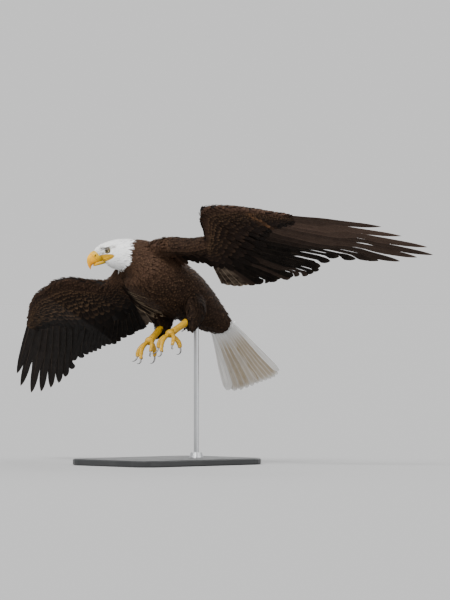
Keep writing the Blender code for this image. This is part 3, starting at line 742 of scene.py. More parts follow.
def grown(name, plume, seeds, finish, hug=True):
    """Feathers of one pattern on their seeds, as one joined mesh.

    seeds holds root, way, normal, length, half (width), low and high (height at root and
    tip), tone and fringe, and bow if the feathers are bent outward.
    """
    root, normal, bow = seeds["root"][:, None], seeds["normal"], seeds.get("bow", 0.0)
    length, half, low, high, bow = (
        np.broadcast_to(values, len(root))[:, None]
        for values in (seeds["length"], seeds["half"], seeds["low"], seeds["high"], bow))
    way = unit(seeds["way"] - normal * np.sum(seeds["way"] * normal, 1)[:, None])
    side = np.cross(way, normal)
    ragged = draw.uniform(0.86, 1.04, (len(root), plume.row[-1] + 1))[:, plume.row]
    reach = plume.across * plume.width * half * ragged
    run = plume.along * length
    points = root + way[:, None] * run[..., None] + side[:, None] * reach[..., None]
    tilt = draw.normal(0.0, TILT, len(root))[:, None]
    rise = low + (high - low) * plume.along ** 0.8 + bow * 4 * plume.along * (1 - plume.along)
    heights = rise + plume.sheet + tilt * reach - CUP * reach ** 2
    if hug:
        points = hugging(points.reshape(-1, 3), heights.ravel())
    else:
        points = points + normal[:, None] * heights[..., None]
    laid(name, plume, points, seeds["root"], seeds["tone"], seeds["fringe"], finish)


# %% [markdown]
# ## Where the body feathers grow
# Feathers stand at even distances, close on the face and wider on the belly. Random points
# are thrown on the skin, and each one kept clears its neighbours away. The way they lie is a
# field over the body: away from the bill, back along the trunk and down the thighs.

# %% Throw the seeds
EYE_HOLE, SIDE_END, FEET_TOP, LEG_TOP, LEG_REAR = 0.92, 12.5, -14.2, -9.5, 18.3


def search_tree(points, numbers=None):
    """A tree that finds the nearest of many points."""
    numbers = range(len(points)) if numbers is None else numbers
    tree = KDTree(len(numbers))
    for i in numbers:
        tree.insert(points[i], i)
    tree.balance()
    return tree


def scattered(spacing, wanted, tries):
    """Even seeds on the skin: places and normals where wanted is true."""
    skin.data.calc_loop_triangles()
    corners = np.empty(len(skin.data.loop_triangles) * 3, np.int32)
    skin.data.loop_triangles.foreach_get("vertices", corners)
    corners = skin_points[corners.reshape(-1, 3)]
    middle = corners.mean(axis=1)
    across = np.cross(corners[:, 1] - corners[:, 0], corners[:, 2] - corners[:, 0])
    weight = np.linalg.norm(across, axis=1) / 2 / spacing(middle) ** 2 * wanted(middle)
    count = int(weight.sum() * tries)
    picked = draw.choice(len(weight), count, p=weight / weight.sum())
    a, b = draw.random((2, count, 1))
    flip = a + b > 1
    a, b = np.where(flip, 1 - a, a), np.where(flip, 1 - b, b)
    first, second, third = corners[picked].transpose(1, 0, 2)
    points = first + (second - first) * a + (third - first) * b
    search, distance = search_tree(points), spacing(points)
    free, kept = np.ones(count, bool), []
    for i in range(count):
        if free[i]:
            kept.append(i)
            for _, j, _ in search.find_range(points[i], distance[i]):
                free[j] = False
    return points[kept], unit(across[picked[kept]])


def head_reach(points):
    """Distance from the middle of the face."""
    return np.linalg.norm(carried(TO_HEAD, points) - FACE_MIDDLE, axis=1)


def thigh_share(points):
    """1 on the feathers of the thighs, 0 elsewhere."""
    x, aft, up = points.T
    on_side = smooth(2.5, 4.5, np.abs(x)) * smooth(12.0, 14.5, aft) * smooth(26.5, 24.0, aft)
    return on_side * smooth(-1.5, -5.5, up)


def shoulder_share(points):
    """1 where the wings leave the body, 0 elsewhere."""
    return smooth(6.5, 9.5, np.abs(points[:, 0])) * smooth(16.0, 10.0, points[:, 1])


def lie_of(points):
    """The way that feathers point."""
    def turned_to(way, other, share):
        return unit(way * (1 - share[:, None]) + other * share[:, None])

    x, aft, up = points.T
    from_bill = steered(HEAD, unit(carried(TO_HEAD, points) - BILL_ROOT))
    back = unit(stacked(x * 0.015, 1.0, -0.05 - 0.55 * smooth(28.0, 38.0, aft)))
    way = turned_to(back, from_bill, smooth(15.0, 5.0, head_reach(points)))
    out_along = unit(stacked(np.sign(x) * 0.9, 0.8, 0.0))
    way = turned_to(way, out_along, shoulder_share(points) * 0.6)
    return turned_to(way, stacked(x * 0.01, 0.38, -0.9), thigh_share(points))


def feathered(points):
    """True where body feathers grow: not on the wings, the legs, the gape or the eyes."""
    x, aft, up = points.T
    across, back, rise = in_head = carried(TO_HEAD, points).T
    eye = (np.hypot(back, rise) < EYE_HOLE) & (np.abs(across) > 1.5)
    at_bill = (back < -3.85 - 0.25 * rise) & (head_reach(points) < 6.0)
    leg = (up < FEET_TOP) | ((up < LEG_TOP) & (aft < LEG_REAR))
    return (np.abs(x) < SIDE_END) & (gape_share(in_head.T) < 0.35) & ~eye & ~at_bill & ~leg


def body_spacing(points):
    """Distance between feathers, in centimetres."""
    reach = head_reach(points)
    gap = 0.20 + 0.25 * smooth(2.0, 8.0, reach) + 0.33 * smooth(8.0, 18.0, reach)
    gap = (gap + 0.12 * smooth(14.0, 24.0, points[:, 1])) * (1 - 0.16 * smooth(6.0, 12.0, reach))
    return gap * (1 - 0.3 * thigh_share(points)) * (1 - 0.3 * shoulder_share(points))


def some(seeds, mask):
    """The seeds where a mask is true."""
    return {key: values[mask] for key, values in seeds.items()}


places, ways_up = scattered(body_spacing, feathered, tries=7.0)
count = len(places)
print("body feathers", count)

# %% Dress the body
FACE_END, BREAST_END, RAGGED, YAW = 5.2, 12.0, 0.42, 0.10
reach, gap, thigh = head_reach(places), body_spacing(places), thigh_share(places)
aft, depth = places[:, 1], coat_depth(places)
ragged = draw.normal(0.0, RAGGED, count)
white = whiteness(places, ragged)
lighter = draw.uniform(0.78, 1.25, (count, 1))
clean = np.maximum(white, tail_whiteness(places, ragged))
tone = markings(places, ragged)
tone = tone * np.where(clean[:, None] > 0.5, 1.0 + (lighter - 1) * 0.12, lighter)
# dark marks by the eye, with the painted shadow of the brow over it
dark = smudge_and_brow_shadow(places) * (reach < FACE_END) * draw.uniform(0.5, 1.0, count)
tone = mixed(tone, SMUDGE_AND_SHADOW_BROWN, dark * 0.85)
# painted highlight: gold on the feather edges stands for light caught on them, stronger towards
# the front
edge_glint = (0.55 + 0.45 * smooth(24.0, 6.0, aft)) * draw.uniform(0.25, 1.0, count)
edge_glint = edge_glint * np.where(draw.random(count) < 0.3, 1.0, 0.5)
fringe = painted(tone * 1.15, (GOLD_FRINGE_AND_GLINT, edge_glint * 0.8), (WHITE, clean * (1 - dark)))
yaw = draw.normal(0.0, YAW, (count, 3))
body_seeds = {
    "root": places, "normal": ways_up, "way": lie_of(places) + yaw,
    "length": gap * (3.2 + 0.6 * thigh + 0.7 * smooth(30.0, 36.0, aft) + 0.4 * white),
    "half": gap * (0.70 - 0.10 * thigh - 0.10 * white) * draw.uniform(0.88, 1.12, count),
    "low": depth * 0.1 - 0.05, "high": depth * draw.uniform(0.85, 1.12, count) + 0.05,
    "tone": tone, "fringe": fringe,
}
on_face = reach < FACE_END
on_head = (white > 0.5) & ~on_face
brown = ~on_face & ~on_head
breast, right_half = brown & (aft < BREAST_END), places[:, 0] < 0.0
for name, plume, mask, finish in (
        ("face_feathers", SMALL, on_face, PALE), ("head_feathers", LANCE, on_head, PALE),
        ("right_breast_feathers", ROUND, breast & right_half, BROWN),
        ("left_breast_feathers", ROUND, breast & ~right_half, BROWN),
        ("body_feathers", ROUND, brown & ~breast, BROWN)):
    grown(name, plume, some(body_seeds, mask), finish)

# %% [markdown]
# ## The plan of the wings
# The solids of the wings were drawn as plans, and the large feathers run along the lines of
# the same plans. The left wing is drawn in at the elbow, and the right one is spread. A point
# of a plan is (ahead, out): how far before the shoulders, and how far from the middle.

# %% Wing plans
# leading point, rear point and thickness at each station
LEFT_UPPER_ARM = [(4.0, 5.0, -3.6, 6.0, 5.4), (3.8, 11.0, -3.0, 12.5, 5.2),
                  (0.6, 18.5, -5.8, 17.5, 4.6), (-1.6, 25.0, -7.9, 20.6, 3.9)]
LEFT_FOREARM = [(-1.6, 25.0, -12.6, 18.6, 3.8), (2.6, 27.0, -16.0, 23.5, 3.7),
                (7.2, 29.2, -17.0, 29.0, 3.6), (10.3, 32.0, -14.0, 35.0, 3.4)]
RIGHT_UPPER_ARM = [(3.0, 5.0, -13.0, 5.6, 5.2), (1.8, 10.6, -14.0, 10.6, 4.9),
                   (0.0, 16.0, -15.0, 15.4, 4.4), (5.2, 20.4, -15.6, 18.6, 4.0)]
RIGHT_FOREARM = [(5.2, 20.4, -15.6, 18.6, 4.0), (9.6, 23.8, -16.0, 23.5, 3.8),
                 (11.4, 28.0, -15.6, 29.0, 3.6), (10.8, 32.0, -13.4, 35.0, 3.4)]
HAND = [(8.8, 38.0, -10.5, 40.0, 2.9), (4.4, 45.0, -8.5, 45.5, 2.2),
        (-0.7, 51.0, -8.5, 50.5, 1.6), (-4.7, 56.0, -9.0, 54.5, 1.0)]
SECTION = ((0.0, 0.03, 0.12, 0.28, 0.55, 1.0), (0.0, 0.5, 0.88, 1.0, 0.68, 0.0))
REAR_HALF = 0.17
WRIST_OUT, TIP_OUT, LEAD_AHEAD, LEAD_SWEEP = 32.0, 86.0, 9.0, 0.62
PRIMARIES, INNER, TERTIALS = 10, 16, 4
PRIMARY_BASES = [(-12.6, 35.6), (-9.6, 40.2), (-7.6, 45.4), (-7.4, 49.8), (-5.4, 54.4)]
LEFT_PRIMARY_TIPS = [
    (-28.9, 53.0), (-28.4, 57.0), (-31.6, 61.2), (-35.3, 67.4), (-38.4, 73.4),
    (-39.2, 79.6), (-40.4, 85.0), (-36.6, 85.8), (-28.6, 81.8), (-22.0, 79.0)]
RIGHT_PRIMARY_TIPS = [
    (-27.4, 52.4), (-28.0, 56.6), (-32.2, 61.2), (-35.4, 67.2), (-37.8, 72.6),
    (-39.4, 78.0), (-40.4, 83.6), (-40.0, 88.0), (-35.4, 88.6), (-28.6, 83.6)]
LEFT_INNER = ([(-12.3, 19.3), (-15.2, 23.4), (-16.0, 29.0), (-13.4, 34.4)],
              [(-21.6, 16.6), (-24.8, 22.6), (-27.6, 29.0), (-29.6, 36.4), (-31.2, 43.4),
               (-29.8, 50.2)])
RIGHT_INNER = ([(-12.8, 10.4), (-14.4, 17.6), (-15.2, 24.0), (-14.8, 29.0), (-12.6, 34.4)],
               [(-20.4, 11.8), (-24.4, 15.6), (-24.2, 24.0), (-23.4, 36.0), (-26.2, 50.0)])


def eased(rows, steps):
    """Rows of numbers with more rows between them, on a smooth curve."""
    rows = np.asarray(rows, float)
    last = len(rows) - 1
    found = []
    for i in range(last):
        p, q, r, s = rows[max(i - 1, 0)], rows[i], rows[i + 1], rows[min(i + 2, last)]
        for t in np.arange(steps) / steps:
            found.append(0.5 * (2 * q + (r - p) * t + (2 * p - 5 * q + 4 * r - s) * t * t
                                + (3 * q - p - 3 * r + s) * t ** 3))
    return np.array(found + [rows[last]])


def along_line(points, shares):
    """Points at shares of the length of a line."""
    points = np.asarray(points, float)
    run = np.append(0.0, np.cumsum(np.linalg.norm(np.diff(points, axis=0), axis=1)))
    at = np.asarray(shares) * run[-1]
    return np.stack([np.interp(at, run, column) for column in points.T], -1)


class Wing:
    """One wing: its plan, its heights and the lines of its large feathers."""

    def __init__(self, name, side, reach, arm, forearm, inner, primary_tips, heights):
        self.name, self.side, self.reach, self.heights = name, side, reach, heights
        self.parts = [eased(arm, 4), eased(forearm + HAND, 4)]
        shares = (np.arange(INNER) + 0.5) / INNER
        self.bases = np.concatenate([along_line(inner[0], shares),
                                     along_line(PRIMARY_BASES, np.linspace(0, 1, PRIMARIES))])
        self.tips = np.concatenate([along_line(inner[1], shares), primary_tips])

    def rise(self, ahead, out):
        """Height of the middle surface."""
        shoulder_up, wrist_up, tip_up, bend, camber = self.heights
        on_arm = np.maximum(out - bend, 0.0) / (WRIST_OUT - bend)
        beyond = out - WRIST_OUT
        height = np.where(beyond < 0, shoulder_up + (wrist_up - shoulder_up) * on_arm,
                          wrist_up + (tip_up - wrist_up) * (beyond / (TIP_OUT - WRIST_OUT)))
        lead = LEAD_AHEAD - LEAD_SWEEP * np.maximum(beyond, 0.0)
        behind = np.maximum(lead - ahead, 0.0)
        return height - camber * (0.05 * behind + 0.002 * behind ** 2)

    def place(self, plan, lift):
        """Points of the plan, lifted off the middle surface, in the body's frame."""
        ahead, out = plan[..., 0], plan[..., 1]
        return stacked(self.side * out * self.reach, -ahead, self.rise(ahead, out) + lift)

    def feather_way(self, plan):
        """The way of the nearest large feather, in plan."""
        gaps = np.linalg.norm(plan[:, None] - self.bases[None], axis=2)
        near = np.exp(-(gaps - gaps.min(axis=1, keepdims=True)) / 1.5)
        return unit((near[..., None] * unit(self.tips - self.bases)[None]).sum(axis=1))


WINGS = [
    Wing("left", 1, 1.0, LEFT_UPPER_ARM, LEFT_FOREARM, LEFT_INNER, LEFT_PRIMARY_TIPS,
         (4.8, 8.0, 7.5, 20.0, 1.0)),
    Wing("right", -1, 0.955, RIGHT_UPPER_ARM, RIGHT_FOREARM, RIGHT_INNER, RIGHT_PRIMARY_TIPS,
         (0.6, -6.0, -5.0, 8.0, 0.5)),
]
print("large feathers in a wing", INNER + PRIMARIES)

# %% [markdown]
# ## Large feathers
# The quills of wing and tail are seen one by one, so each is built on its own: a sheet with a
# broad trailing vane and a narrow leading one, rolled about its shaft, so that it lies over the
# next like the slats of a blind. Here and there the barbs have come apart in a narrow notch.

# %% Build quills
ACROSS = np.array([-1.0, -0.8, -0.5, -0.22, 0.0, 0.22, 0.5, 0.8, 1.0])


def grid_faces(rows, columns):
    """Triangles between rings of points."""
    k, i = np.meshgrid(np.arange(rows - 1), np.arange(columns), indexing='ij')
    a, b = k * columns + i, k * columns + (i + 1) % columns
    both = [stacked(a, b, b + columns), stacked(a, b + columns, a + columns)]
    return np.concatenate([part.reshape(-1, 3) for part in both])


def tube_faces(rows, columns):
    """Triangles of a tube of rings with both ends shut."""
    turn = np.arange(1, columns - 1)
    end = stacked(0, turn, turn + 1)
    return np.concatenate([grid_faces(rows, columns), end[:, [0, 2, 1]],
                           end + (rows - 1) * columns])


def tapered(most, start, full, free, power, blunt):
    """Widths of a vane that starts narrow and rounds off at its end, by share of the length."""
    def width(shares):
        freed = np.clip((shares - free) / (1 - free), 0.0, 1.0)
        wide = most * (start + (1 - start) * smooth(0.0, full, shares))
        return wide * (1 - freed ** power) ** blunt
    return width


ROWS, LAST_ROW, NOTCH = 44, 0.9985, 0.004
SWEEP, CURL, RIPPLE, SHAFT_SIDES = 0.16, 0.022, 0.02, 6


class Quills:
    """Large feathers, collected for one joined mesh."""

    def __init__(self, count):
        self.count, self.size, self.parts = count, 0, []

    def add(self, points, faces, vane, strip, tone, fringe):
        """Add points with their places across and along, on the strip of one quill."""
        points = points.reshape(-1, 3)
        room = (0.04 + 0.92 * vane[:, 0] + strip) / self.count
        self.parts.append((points, facing_out(points, faces, len(points)) + self.size, vane,
                           stacked(room, 0.01 + 0.98 * vane[:, 1]),
                           np.broadcast_to(tone, points.shape),
                           np.broadcast_to(fringe, points.shape)))
        self.size += len(points)

    def grow(self, strip, base, tip, leading, trailing, place, colours, roll, stout, notches,
             shaded_vane=None):
        """One large feather on a line of the plan.

        leading and trailing give the widths of the vanes, place turns a plan point and a
        height into a point, and colours are those of the vane, its fringe and the shaft.
        """
        tone, fringe, shaft = colours
        splits = np.sort(draw.uniform(0.35, 0.93, notches))
        shares = [split + shift for split in splits for shift in (-NOTCH, 0.0, NOTCH)]
        shares = np.append(np.linspace(0.0, 1.0, ROWS) ** 0.85, shares)
        shares = np.unique(np.clip(shares, 0.0, LAST_ROW))
        depth = np.ones((2, len(shares)))
        for split in splits:
            depth[draw.integers(0, 2), np.argmin(abs(shares - split))] = draw.uniform(0.72, 0.88)
        depth *= draw.uniform(0.97, 1.0, depth.shape)
        ahead = unit(tip - base)
        out = np.array((ahead[1], -ahead[0]))
        centre = (base + (tip - base) * shares[:, None])[:, None]
        reach = ACROSS * np.where(ACROSS > 0, (leading(shares) * depth[0])[:, None],
                                  (trailing(shares) * depth[1])[:, None])
        sweep = SWEEP * abs(reach) * (1 - shares[:, None]) ** 0.3
        plan = centre + out * reach[..., None] + ahead * sweep[..., None]
        ripple = RIPPLE * np.sin(shares * 25 + strip)[:, None] * ACROSS
        lift = roll * reach - CURL * reach ** 2 + ripple
        thick = 0.018 + 0.02 * (1 - abs(ACROSS))
        loop = np.concatenate([place(plan, lift + thick), place(plan, lift - thick)[:, ::-1]], 1)
        rows, columns = loop.shape[:2]
        across = np.tile((1 - np.append(ACROSS, ACROSS[::-1])) / 2, rows)
        vane = stacked(across, np.repeat(shares, columns))
        self.add(loop, tube_faces(rows, columns), vane, strip, shaded_vane(vane) if shaded_vane else tone,
                 fringe)
        girth = stout * (1.0 - shares * 0.93)[:, None]
        turn = np.arange(SHAFT_SIDES) / SHAFT_SIDES * 2 * math.pi
        tube = place(centre + out * (np.cos(turn) * girth)[..., None], np.sin(turn) * girth * 0.8)
        self.add(tube, tube_faces(rows, SHAFT_SIDES),
                 stacked(0.5, np.repeat(shares, SHAFT_SIDES)), strip, shaft, shaft)

    def woven(self, name, finish, *nodes):
        """All that was added, as one mesh."""
        woven(name, *map(np.concatenate, zip(*self.parts)), finish, *nodes)


# %% The finish of the quills
def quill_finish(name, roughness, mottled, barbs):
    """Long vanes with fine barbs, faint bars and a pale rim of painted highlight."""
    made, wire = finish_of(name, roughness, specular_ior_level=0.05)
    side, along = wire.vane()
    place = wire.node("UVMap", {}, uv_map="Vane")
    place = wire.node("Mapping", {"Vector": place, "Scale": (26.0, 2.2, 1.0)})
    streak = wire.spots(1.0, 4.0, place).step(0.3, 0.7)
    cloud = wire.spots(45.0, 3.0).step(0.35, 0.7)
    ridges = (along * barbs - side * barbs * 0.16).wave()
    # painted highlight: the rim is pale as if light caught the edge of the vane
    rim = side.most(along * 1.01 - 0.01).step(0.9, 1.0)
    base = (rim * 0.5 + cloud * mottled).mixed(wire.attribute("tone"), wire.attribute("fringe"))
    wire.feed(base_color=base.tinted(streak * 0.36 + ridges * 0.1 + 0.72),
              roughness=streak * 0.14 + (roughness - 0.07),
              normal=wire.relief(ridges * 0.6 + streak * 0.4, 0.0008, 0.55))
    return made


DARK_QUILLS = (quill_finish("dark_quills", 0.56, 0.16, 420.0), "flight_feathers")
PALE_QUILLS = (quill_finish("pale_quills", 0.6, 0.1, 330.0), "plumage_white")

# %% Wing quills
OUTER_BROWN, SHAFT_BROWN = rgb(0.082, 0.052, 0.039), rgb(0.07, 0.05, 0.035)
PALE_RIM_GLINT = rgb(0.66, 0.51, 0.37)
TERTIAL_HALF, INNER_HALF, PRIMARY_HALF = 1.6, 1.85, 2.0


def wing_quills(wing):
    """All flight feathers of one wing."""
    left, total = wing.side > 0, INNER + PRIMARIES
    quills, bases = Quills(total), wing.bases
    loose = draw.uniform(-1.0, 0.35, (total, 1))
    loose[:2] = loose[INNER:] = 0.0
    tips = wing.tips + unit(wing.tips - bases) * loose
    ways = unit(tips - bases)
    slots = [0.84] * TERTIALS + [0.88] * (INNER - TERTIALS) + [0.82] * 3
    slots += [0.82 - 0.065 * i for i in range(1, PRIMARIES - 2)]
    for i, free in enumerate(slots):
        tertial, primary = i < TERTIALS, i >= INNER
        most = TERTIAL_HALF if tertial else PRIMARY_HALF if primary else INNER_HALF

        def width(shares, step, held, opened):
            """Up to the neighbour where the wing is closed, and tapered where it is slotted."""
            j = i + step if 0 <= i + step < total else i - step
            apart = mixed(bases[j] - bases[i], tips[j] - tips[i], shares)
            gap = np.abs(apart[:, 0] * ways[i, 1] - apart[:, 1] * ways[i, 0])
            freed = np.clip((shares - free) / (1 - free), 0.0, 1.0)
            blend = smooth(0.0, 0.35, freed)
            closed = np.minimum(gap * held, most * held * 2)
            wide = closed * (1 - blend) + most * opened * blend
            start = smooth(-0.04, 0.08, shares) * 0.35 + 0.65
            return wide * (1 - freed ** 3.2) ** 0.75 * start

        slit = draw.uniform(0.16, 0.40) if primary else draw.choice((0.24, 1.1), p=(0.4, 0.6))
        slit = slit if left else max(slit, 0.75)
        opens = 0.3 if primary else 0.5

        def trailing(shares):
            """The inward vane, which draws back to leave a slit further out."""
            held = 1.12 + (slit - 1.12) * smooth(opens, opens + 0.3, shares)
            return width(shares, -1, held, 0.78)

        def leading(shares):
            return width(shares, 1, 0.5, 0.5 if i >= total - 2 else 0.6)

        age = draw.uniform(0.8, 1.25)
        age *= draw.choice((1.0, 6.0), p=(0.66, 0.34)) if left else 1.0
        tone = mixed(QUILL_BROWN, EDGE_BROWN, 0.45) if tertial else QUILL_BROWN * age
        far = smooth(INNER + 1, total - 2, i) * (0.85 if left else 0.1)
        tone = mixed(tone, OUTER_BROWN * draw.uniform(0.5, 1.2), far)
        # painted highlight on the rims, strong on the tertials
        fringe = mixed(tone * 1.7, PALE_RIM_GLINT, 0.8 if tertial else 0.04)
        quills.grow(i, bases[i], tips[i], leading, trailing, wing.place,
                    (tone, fringe, mixed(tone, SHAFT_BROWN, 0.5)), 0.085,
                    0.24 if primary else 0.17, 2 if primary else 1)
    quills.woven(wing.name + "_quills", DARK_QUILLS,
                 *[f"{wing.name}_{part}" for part in ("tertials", "secondaries", "primaries")])


for wing in WINGS:
    wing_quills(wing)

# %% [markdown]
# ## Coverts of the leading edge
# Over the roots of the quills lie the coverts. Those along the leading edge are tiny and wrap
# it round, so they grow from the skin as the body's feathers do. A table of places over the
# front of the wings says which way is rearward and which is outward there.

# %% Small feathers of the leading edge
EDGE_SHARE, EDGE_GAP, BODY_SIDE, NUDGE, STATIONS = 0.15, 0.5, 12.2, 0.3, 90


def surface_half(share, thick):
    """Half the thickness of a wing section at a share of its chord."""
    return thick / 2 * np.interp(share, *SECTION) + REAR_HALF * np.clip(share * 8, 0.0, 1.0)


# columns: the place, the way to the rear, the way outward and the share of the chord
front = []
for wing in WINGS:
    for rows in wing.parts:
        both = along_line(rows, np.linspace(0.0, 1.0, STATIONS))
        lead, rear, thick = both[:, :2], both[:, 2:4], both[:, 4]
        for share in np.linspace(0.0, 0.24, 13):
            here = lead + (rear - lead) * share
            for lift in (-surface_half(share, thick), surface_half(share, thick)):
                base = wing.place(here, lift)
                ways = [unit(wing.place(here + unit(step) * NUDGE, lift) - base)
                        for step in (rear - lead, np.gradient(here, axis=0))]
                front.append(np.column_stack([base, *ways, np.full(STATIONS, share)]))
front = np.concatenate(front)
front_tree = search_tree(front[:, :3])


def front_near(points):
    """The rows of the table that lie nearest, and how far they are."""
    met = [front_tree.find(point)[1:] for point in points.tolist()]
    return front[[number for number, _ in met]], np.array([gap for _, gap in met])


def on_front(points):
    """True on the skin along the leading edges."""
    wanted = np.abs(points[:, 0]) > BODY_SIDE
    rows, gaps = front_near(points[wanted])
    wanted[wanted] = (rows[:, 9] < EDGE_SHARE) & (gaps < 1.2)
    return wanted


places, ways_up = scattered(lambda points: np.full(len(points), EDGE_GAP), on_front, tries=7.0)
rows, _ = front_near(places)
share, count, depth = rows[:, 9], len(places), coat_depth(places)
tone = mixed(EDGE_BROWN, COVERT_BROWN, smooth(0.02, 0.16, share))
tone = tone * draw.uniform(0.72, 1.3, (count, 1))
tone = tone * (0.85 + 0.6 * smooth(20.0, 28.0, places[:, :1]))
grown("edge_coverts", ROUND, {
    "root": places, "normal": ways_up,
    "way": rows[:, 3:6] * 0.8 + rows[:, 6:9] * (0.9 - 2.6 * share[:, None]),
    "length": EDGE_GAP * draw.uniform(3.1, 3.8, count),
    "half": EDGE_GAP * draw.uniform(0.66, 0.84, count), "low": depth * 0.1,
    "high": depth * draw.uniform(0.7, 1.0, count) + 0.1 + 0.18 * smooth(0.07, 0.0, share),
    "tone": tone, "fringe": mixed(tone * 1.5, GOLD_FRINGE_AND_GLINT, draw.uniform(0.05, 0.45, count)),
}, BROWN)

# %% [markdown]
# ## Rows of coverts
# Behind the edge the coverts lie in rows like the tiles of a roof, as long as a finger at the
# rear. Each stands on the surface that the solid had, so that the outline is kept.

# %% Dress the wings
RUST_OUT, RUST = 45.16, rgb(0.115, 0.055, 0.025)
FIRST_SHARE, LAST_SHARE, FIRST_ROW, ROW_GROWTH = 0.09, 0.8, 0.5, 2.6
NARROWEST, WIDEST, SHORTEST, LONGEST, STRAY = 0.5, 1.7, 1.25, 9.0, 0.34
WRAP_SHARE, MOST_OFF = 0.13, 1.3
TILE = Plume([(0, .45), (.18, .72), (.36, .92), (.54, 1), (.7, .98), (.83, .86), (.93, .62),
              (.985, .3)], 5, 0.035)


def covert_rows(wing, rows):
    """Feathers in rows on one part of a wing.

    The columns are the place, the lead point and the way in plan, and then the share of the
    chord, the chord, the thickness, the length and the half width.
    """
    lead, rear, found = rows[:, :2], rows[:, 2:4], []
    chord = np.linalg.norm(rear - lead, axis=1).mean()
    shares = [FIRST_SHARE]
    while shares[-1] < LAST_SHARE:
        shares.append(shares[-1] + (FIRST_ROW + ROW_GROWTH * shares[-1]) / chord)
    for k, (share, after) in enumerate(zip(shares, shares[1:])):
        line = rows[:, :2] + (rows[:, 2:4] - rows[:, :2]) * share
        run = np.linalg.norm(np.diff(line, axis=0), axis=1).sum()
        pitch = (after - share) * chord
        apart = np.clip(pitch * 0.82, NARROWEST, WIDEST)
        count = max(int(run / apart), 3)
        spots = (np.arange(count) + 0.5 * (k % 2) + draw.uniform(-0.12, 0.12, count)) / count
        spots = np.clip(spots, 0.0, 1.0)
        both = along_line(np.concatenate([line, rows], 1), spots)
        here, lead, rear, thick = both[:, :2], both[:, 2:4], both[:, 4:6], both[:, 6]
        size = np.linalg.norm(rear - lead, axis=1)
        rearward = unit(rear - lead)
        here = here + rearward * draw.uniform(-STRAY, STRAY, (count, 1)) * pitch
        span = unit(along_line(line, np.clip(spots + 0.02, 0.0, 1.0))
                    - along_line(line, np.clip(spots - 0.02, 0.0, 1.0)))
        way = unit(rearward * (0.75 - 0.55 * share) + wing.feather_way(here) * (
            0.25 + 0.55 * share) + span * 0.85 * smooth(0.22, 0.0, share))
        length = np.clip((after - share) * size * (2.1 + 0.6 * share), SHORTEST, LONGEST)
        length = length * draw.uniform(0.93, 1.05, count)
        found.append(np.column_stack([here, lead, way, np.full(count, share), size, thick,
                                      length, np.full(count, apart * 0.66)]))
    return np.concatenate(found)


def dress_wing(wing, upper):
    """All coverts of one surface of a wing, as one joined mesh."""
    left = wing.side > 0
    rows = np.concatenate([covert_rows(wing, part) for part in wing.parts])
    count = len(rows)
    plan, lead, way = rows[:, None, :2], rows[:, None, 2:4], rows[:, 4:6]
    way = unit(way + draw.normal(0.0, 0.06, (count, 2)))[:, None]
    side = way[..., ::-1] * (-1.0, 1.0)
    share, chord, thick, length, half = (rows[:, k, None] for k in range(6, 11))
    ragged = draw.uniform(0.88, 1.03, (count, TILE.row[-1] + 1))[:, TILE.row]
    reach = TILE.across * TILE.width * half * ragged
    laid_out = way * (TILE.along * length)[..., None] + side * reach[..., None]
    rearward = unit(plan - lead + way * 0.01)
    at = np.maximum(share + (laid_out * rearward).sum(2) / chord, 0.0)
    outline = surface_half(np.minimum(at, 1.0), thick) * (1 - smooth(1.0, 1.25, at) * 0.4)
    tilt = draw.normal(0.0, 0.05, count)[:, None]
    stand = -0.26 + 0.40 * TILE.along ** 0.9 + TILE.sheet + tilt * reach - 0.07 * reach ** 2
    lift = np.maximum(outline + stand, 0.05) * (1.0 if upper else -1.0)
    points = wing.place(plan + laid_out, lift)
    keep = [skin_tree.find_nearest(root)[3] < MOST_OFF for root in points[:, 0].tolist()]
    points, stand = points[keep], stand[keep]
    ahead, out, share = rows[keep, 0], rows[keep, 1], rows[keep, 6]
    roots, number, edge = points[:, 0].copy(), len(share), share < WRAP_SHARE
    hugged = hugging(points[edge].reshape(-1, 3), (stand[edge] + 0.32).ravel())
    points[edge] = hugged.reshape(-1, TILE.size, 3)
    lighter = draw.uniform(0.75, 1.3, (number, 1))
    tone = painted(EDGE_BROWN, (COVERT_BROWN, smooth(0.02, 0.22, share)),
                   (QUILL_BROWN * 1.25, smooth(0.45, 0.75, share))) * lighter
    tone = mixed(tone * (1.6 if left else 1.0), markings(roots), smooth(13.0, 8.0, out))
    if left and not upper:
        patch = bump(out - RUST_OUT - 0.157 * ahead, 0.85) * smooth(-6.0, -4.0, ahead)
        tone = mixed(tone, RUST * draw.uniform(0.5, 1.4, (number, 1)), patch * 0.8)
    golden = smooth(0.04, 0.10, share) * smooth(0.66, 0.40, share)
    golden = golden * (0.45 + 0.55 * smooth(16.0, 26.0, out)) * draw.uniform(0.3, 1.0, number)
    golden = golden * (0.3 + 0.7 * smooth(0.36, 0.20, share) if left else 1.0)
    laid(f"{wing.name}_{'upper' if upper else 'under'}_coverts", TILE, points, roots, tone,
         mixed(tone * 1.5, GOLD_FRINGE_AND_GLINT, golden), BROWN)


for wing in WINGS:
    for upper in (True, False):
        dress_wing(wing, upper)

# %% [markdown]
# At the wrist a bird has a thumb, and on it four stiff feathers, the alula, which it raises
# like the slat of an aircraft. They are built as the quills are, on the same plan.

# %% The alula
for wing in WINGS:
    quills = Quills(4)
    for i in range(4):
        base = np.array((8.6 - 0.9 * i, 34.5 + 1.1 * i))
        tip = base + np.array((-5.6 - 0.9 * i, 10.2 - 1.9 * i)) * (1.0 - 0.07 * i)
        level = (0.13 * i - 0.95) * wing.side
        tone = mixed(EDGE_BROWN, QUILL_BROWN, 0.45 + 0.12 * i)
        quills.grow(i, base, tip, tapered(0.55, 0.5, 0.4, 0.7, 2.4, 0.7),
                    tapered(0.95, 0.5, 0.4, 0.7, 2.4, 0.7),
                    lambda plan, lift: wing.place(plan, lift + level),
                    (tone, mixed(tone, GOLD_FRINGE_AND_GLINT, 0.4), tone * 1.5), 0.05, 0.12, 1)
    quills.woven(wing.name + "_alula", DARK_QUILLS)
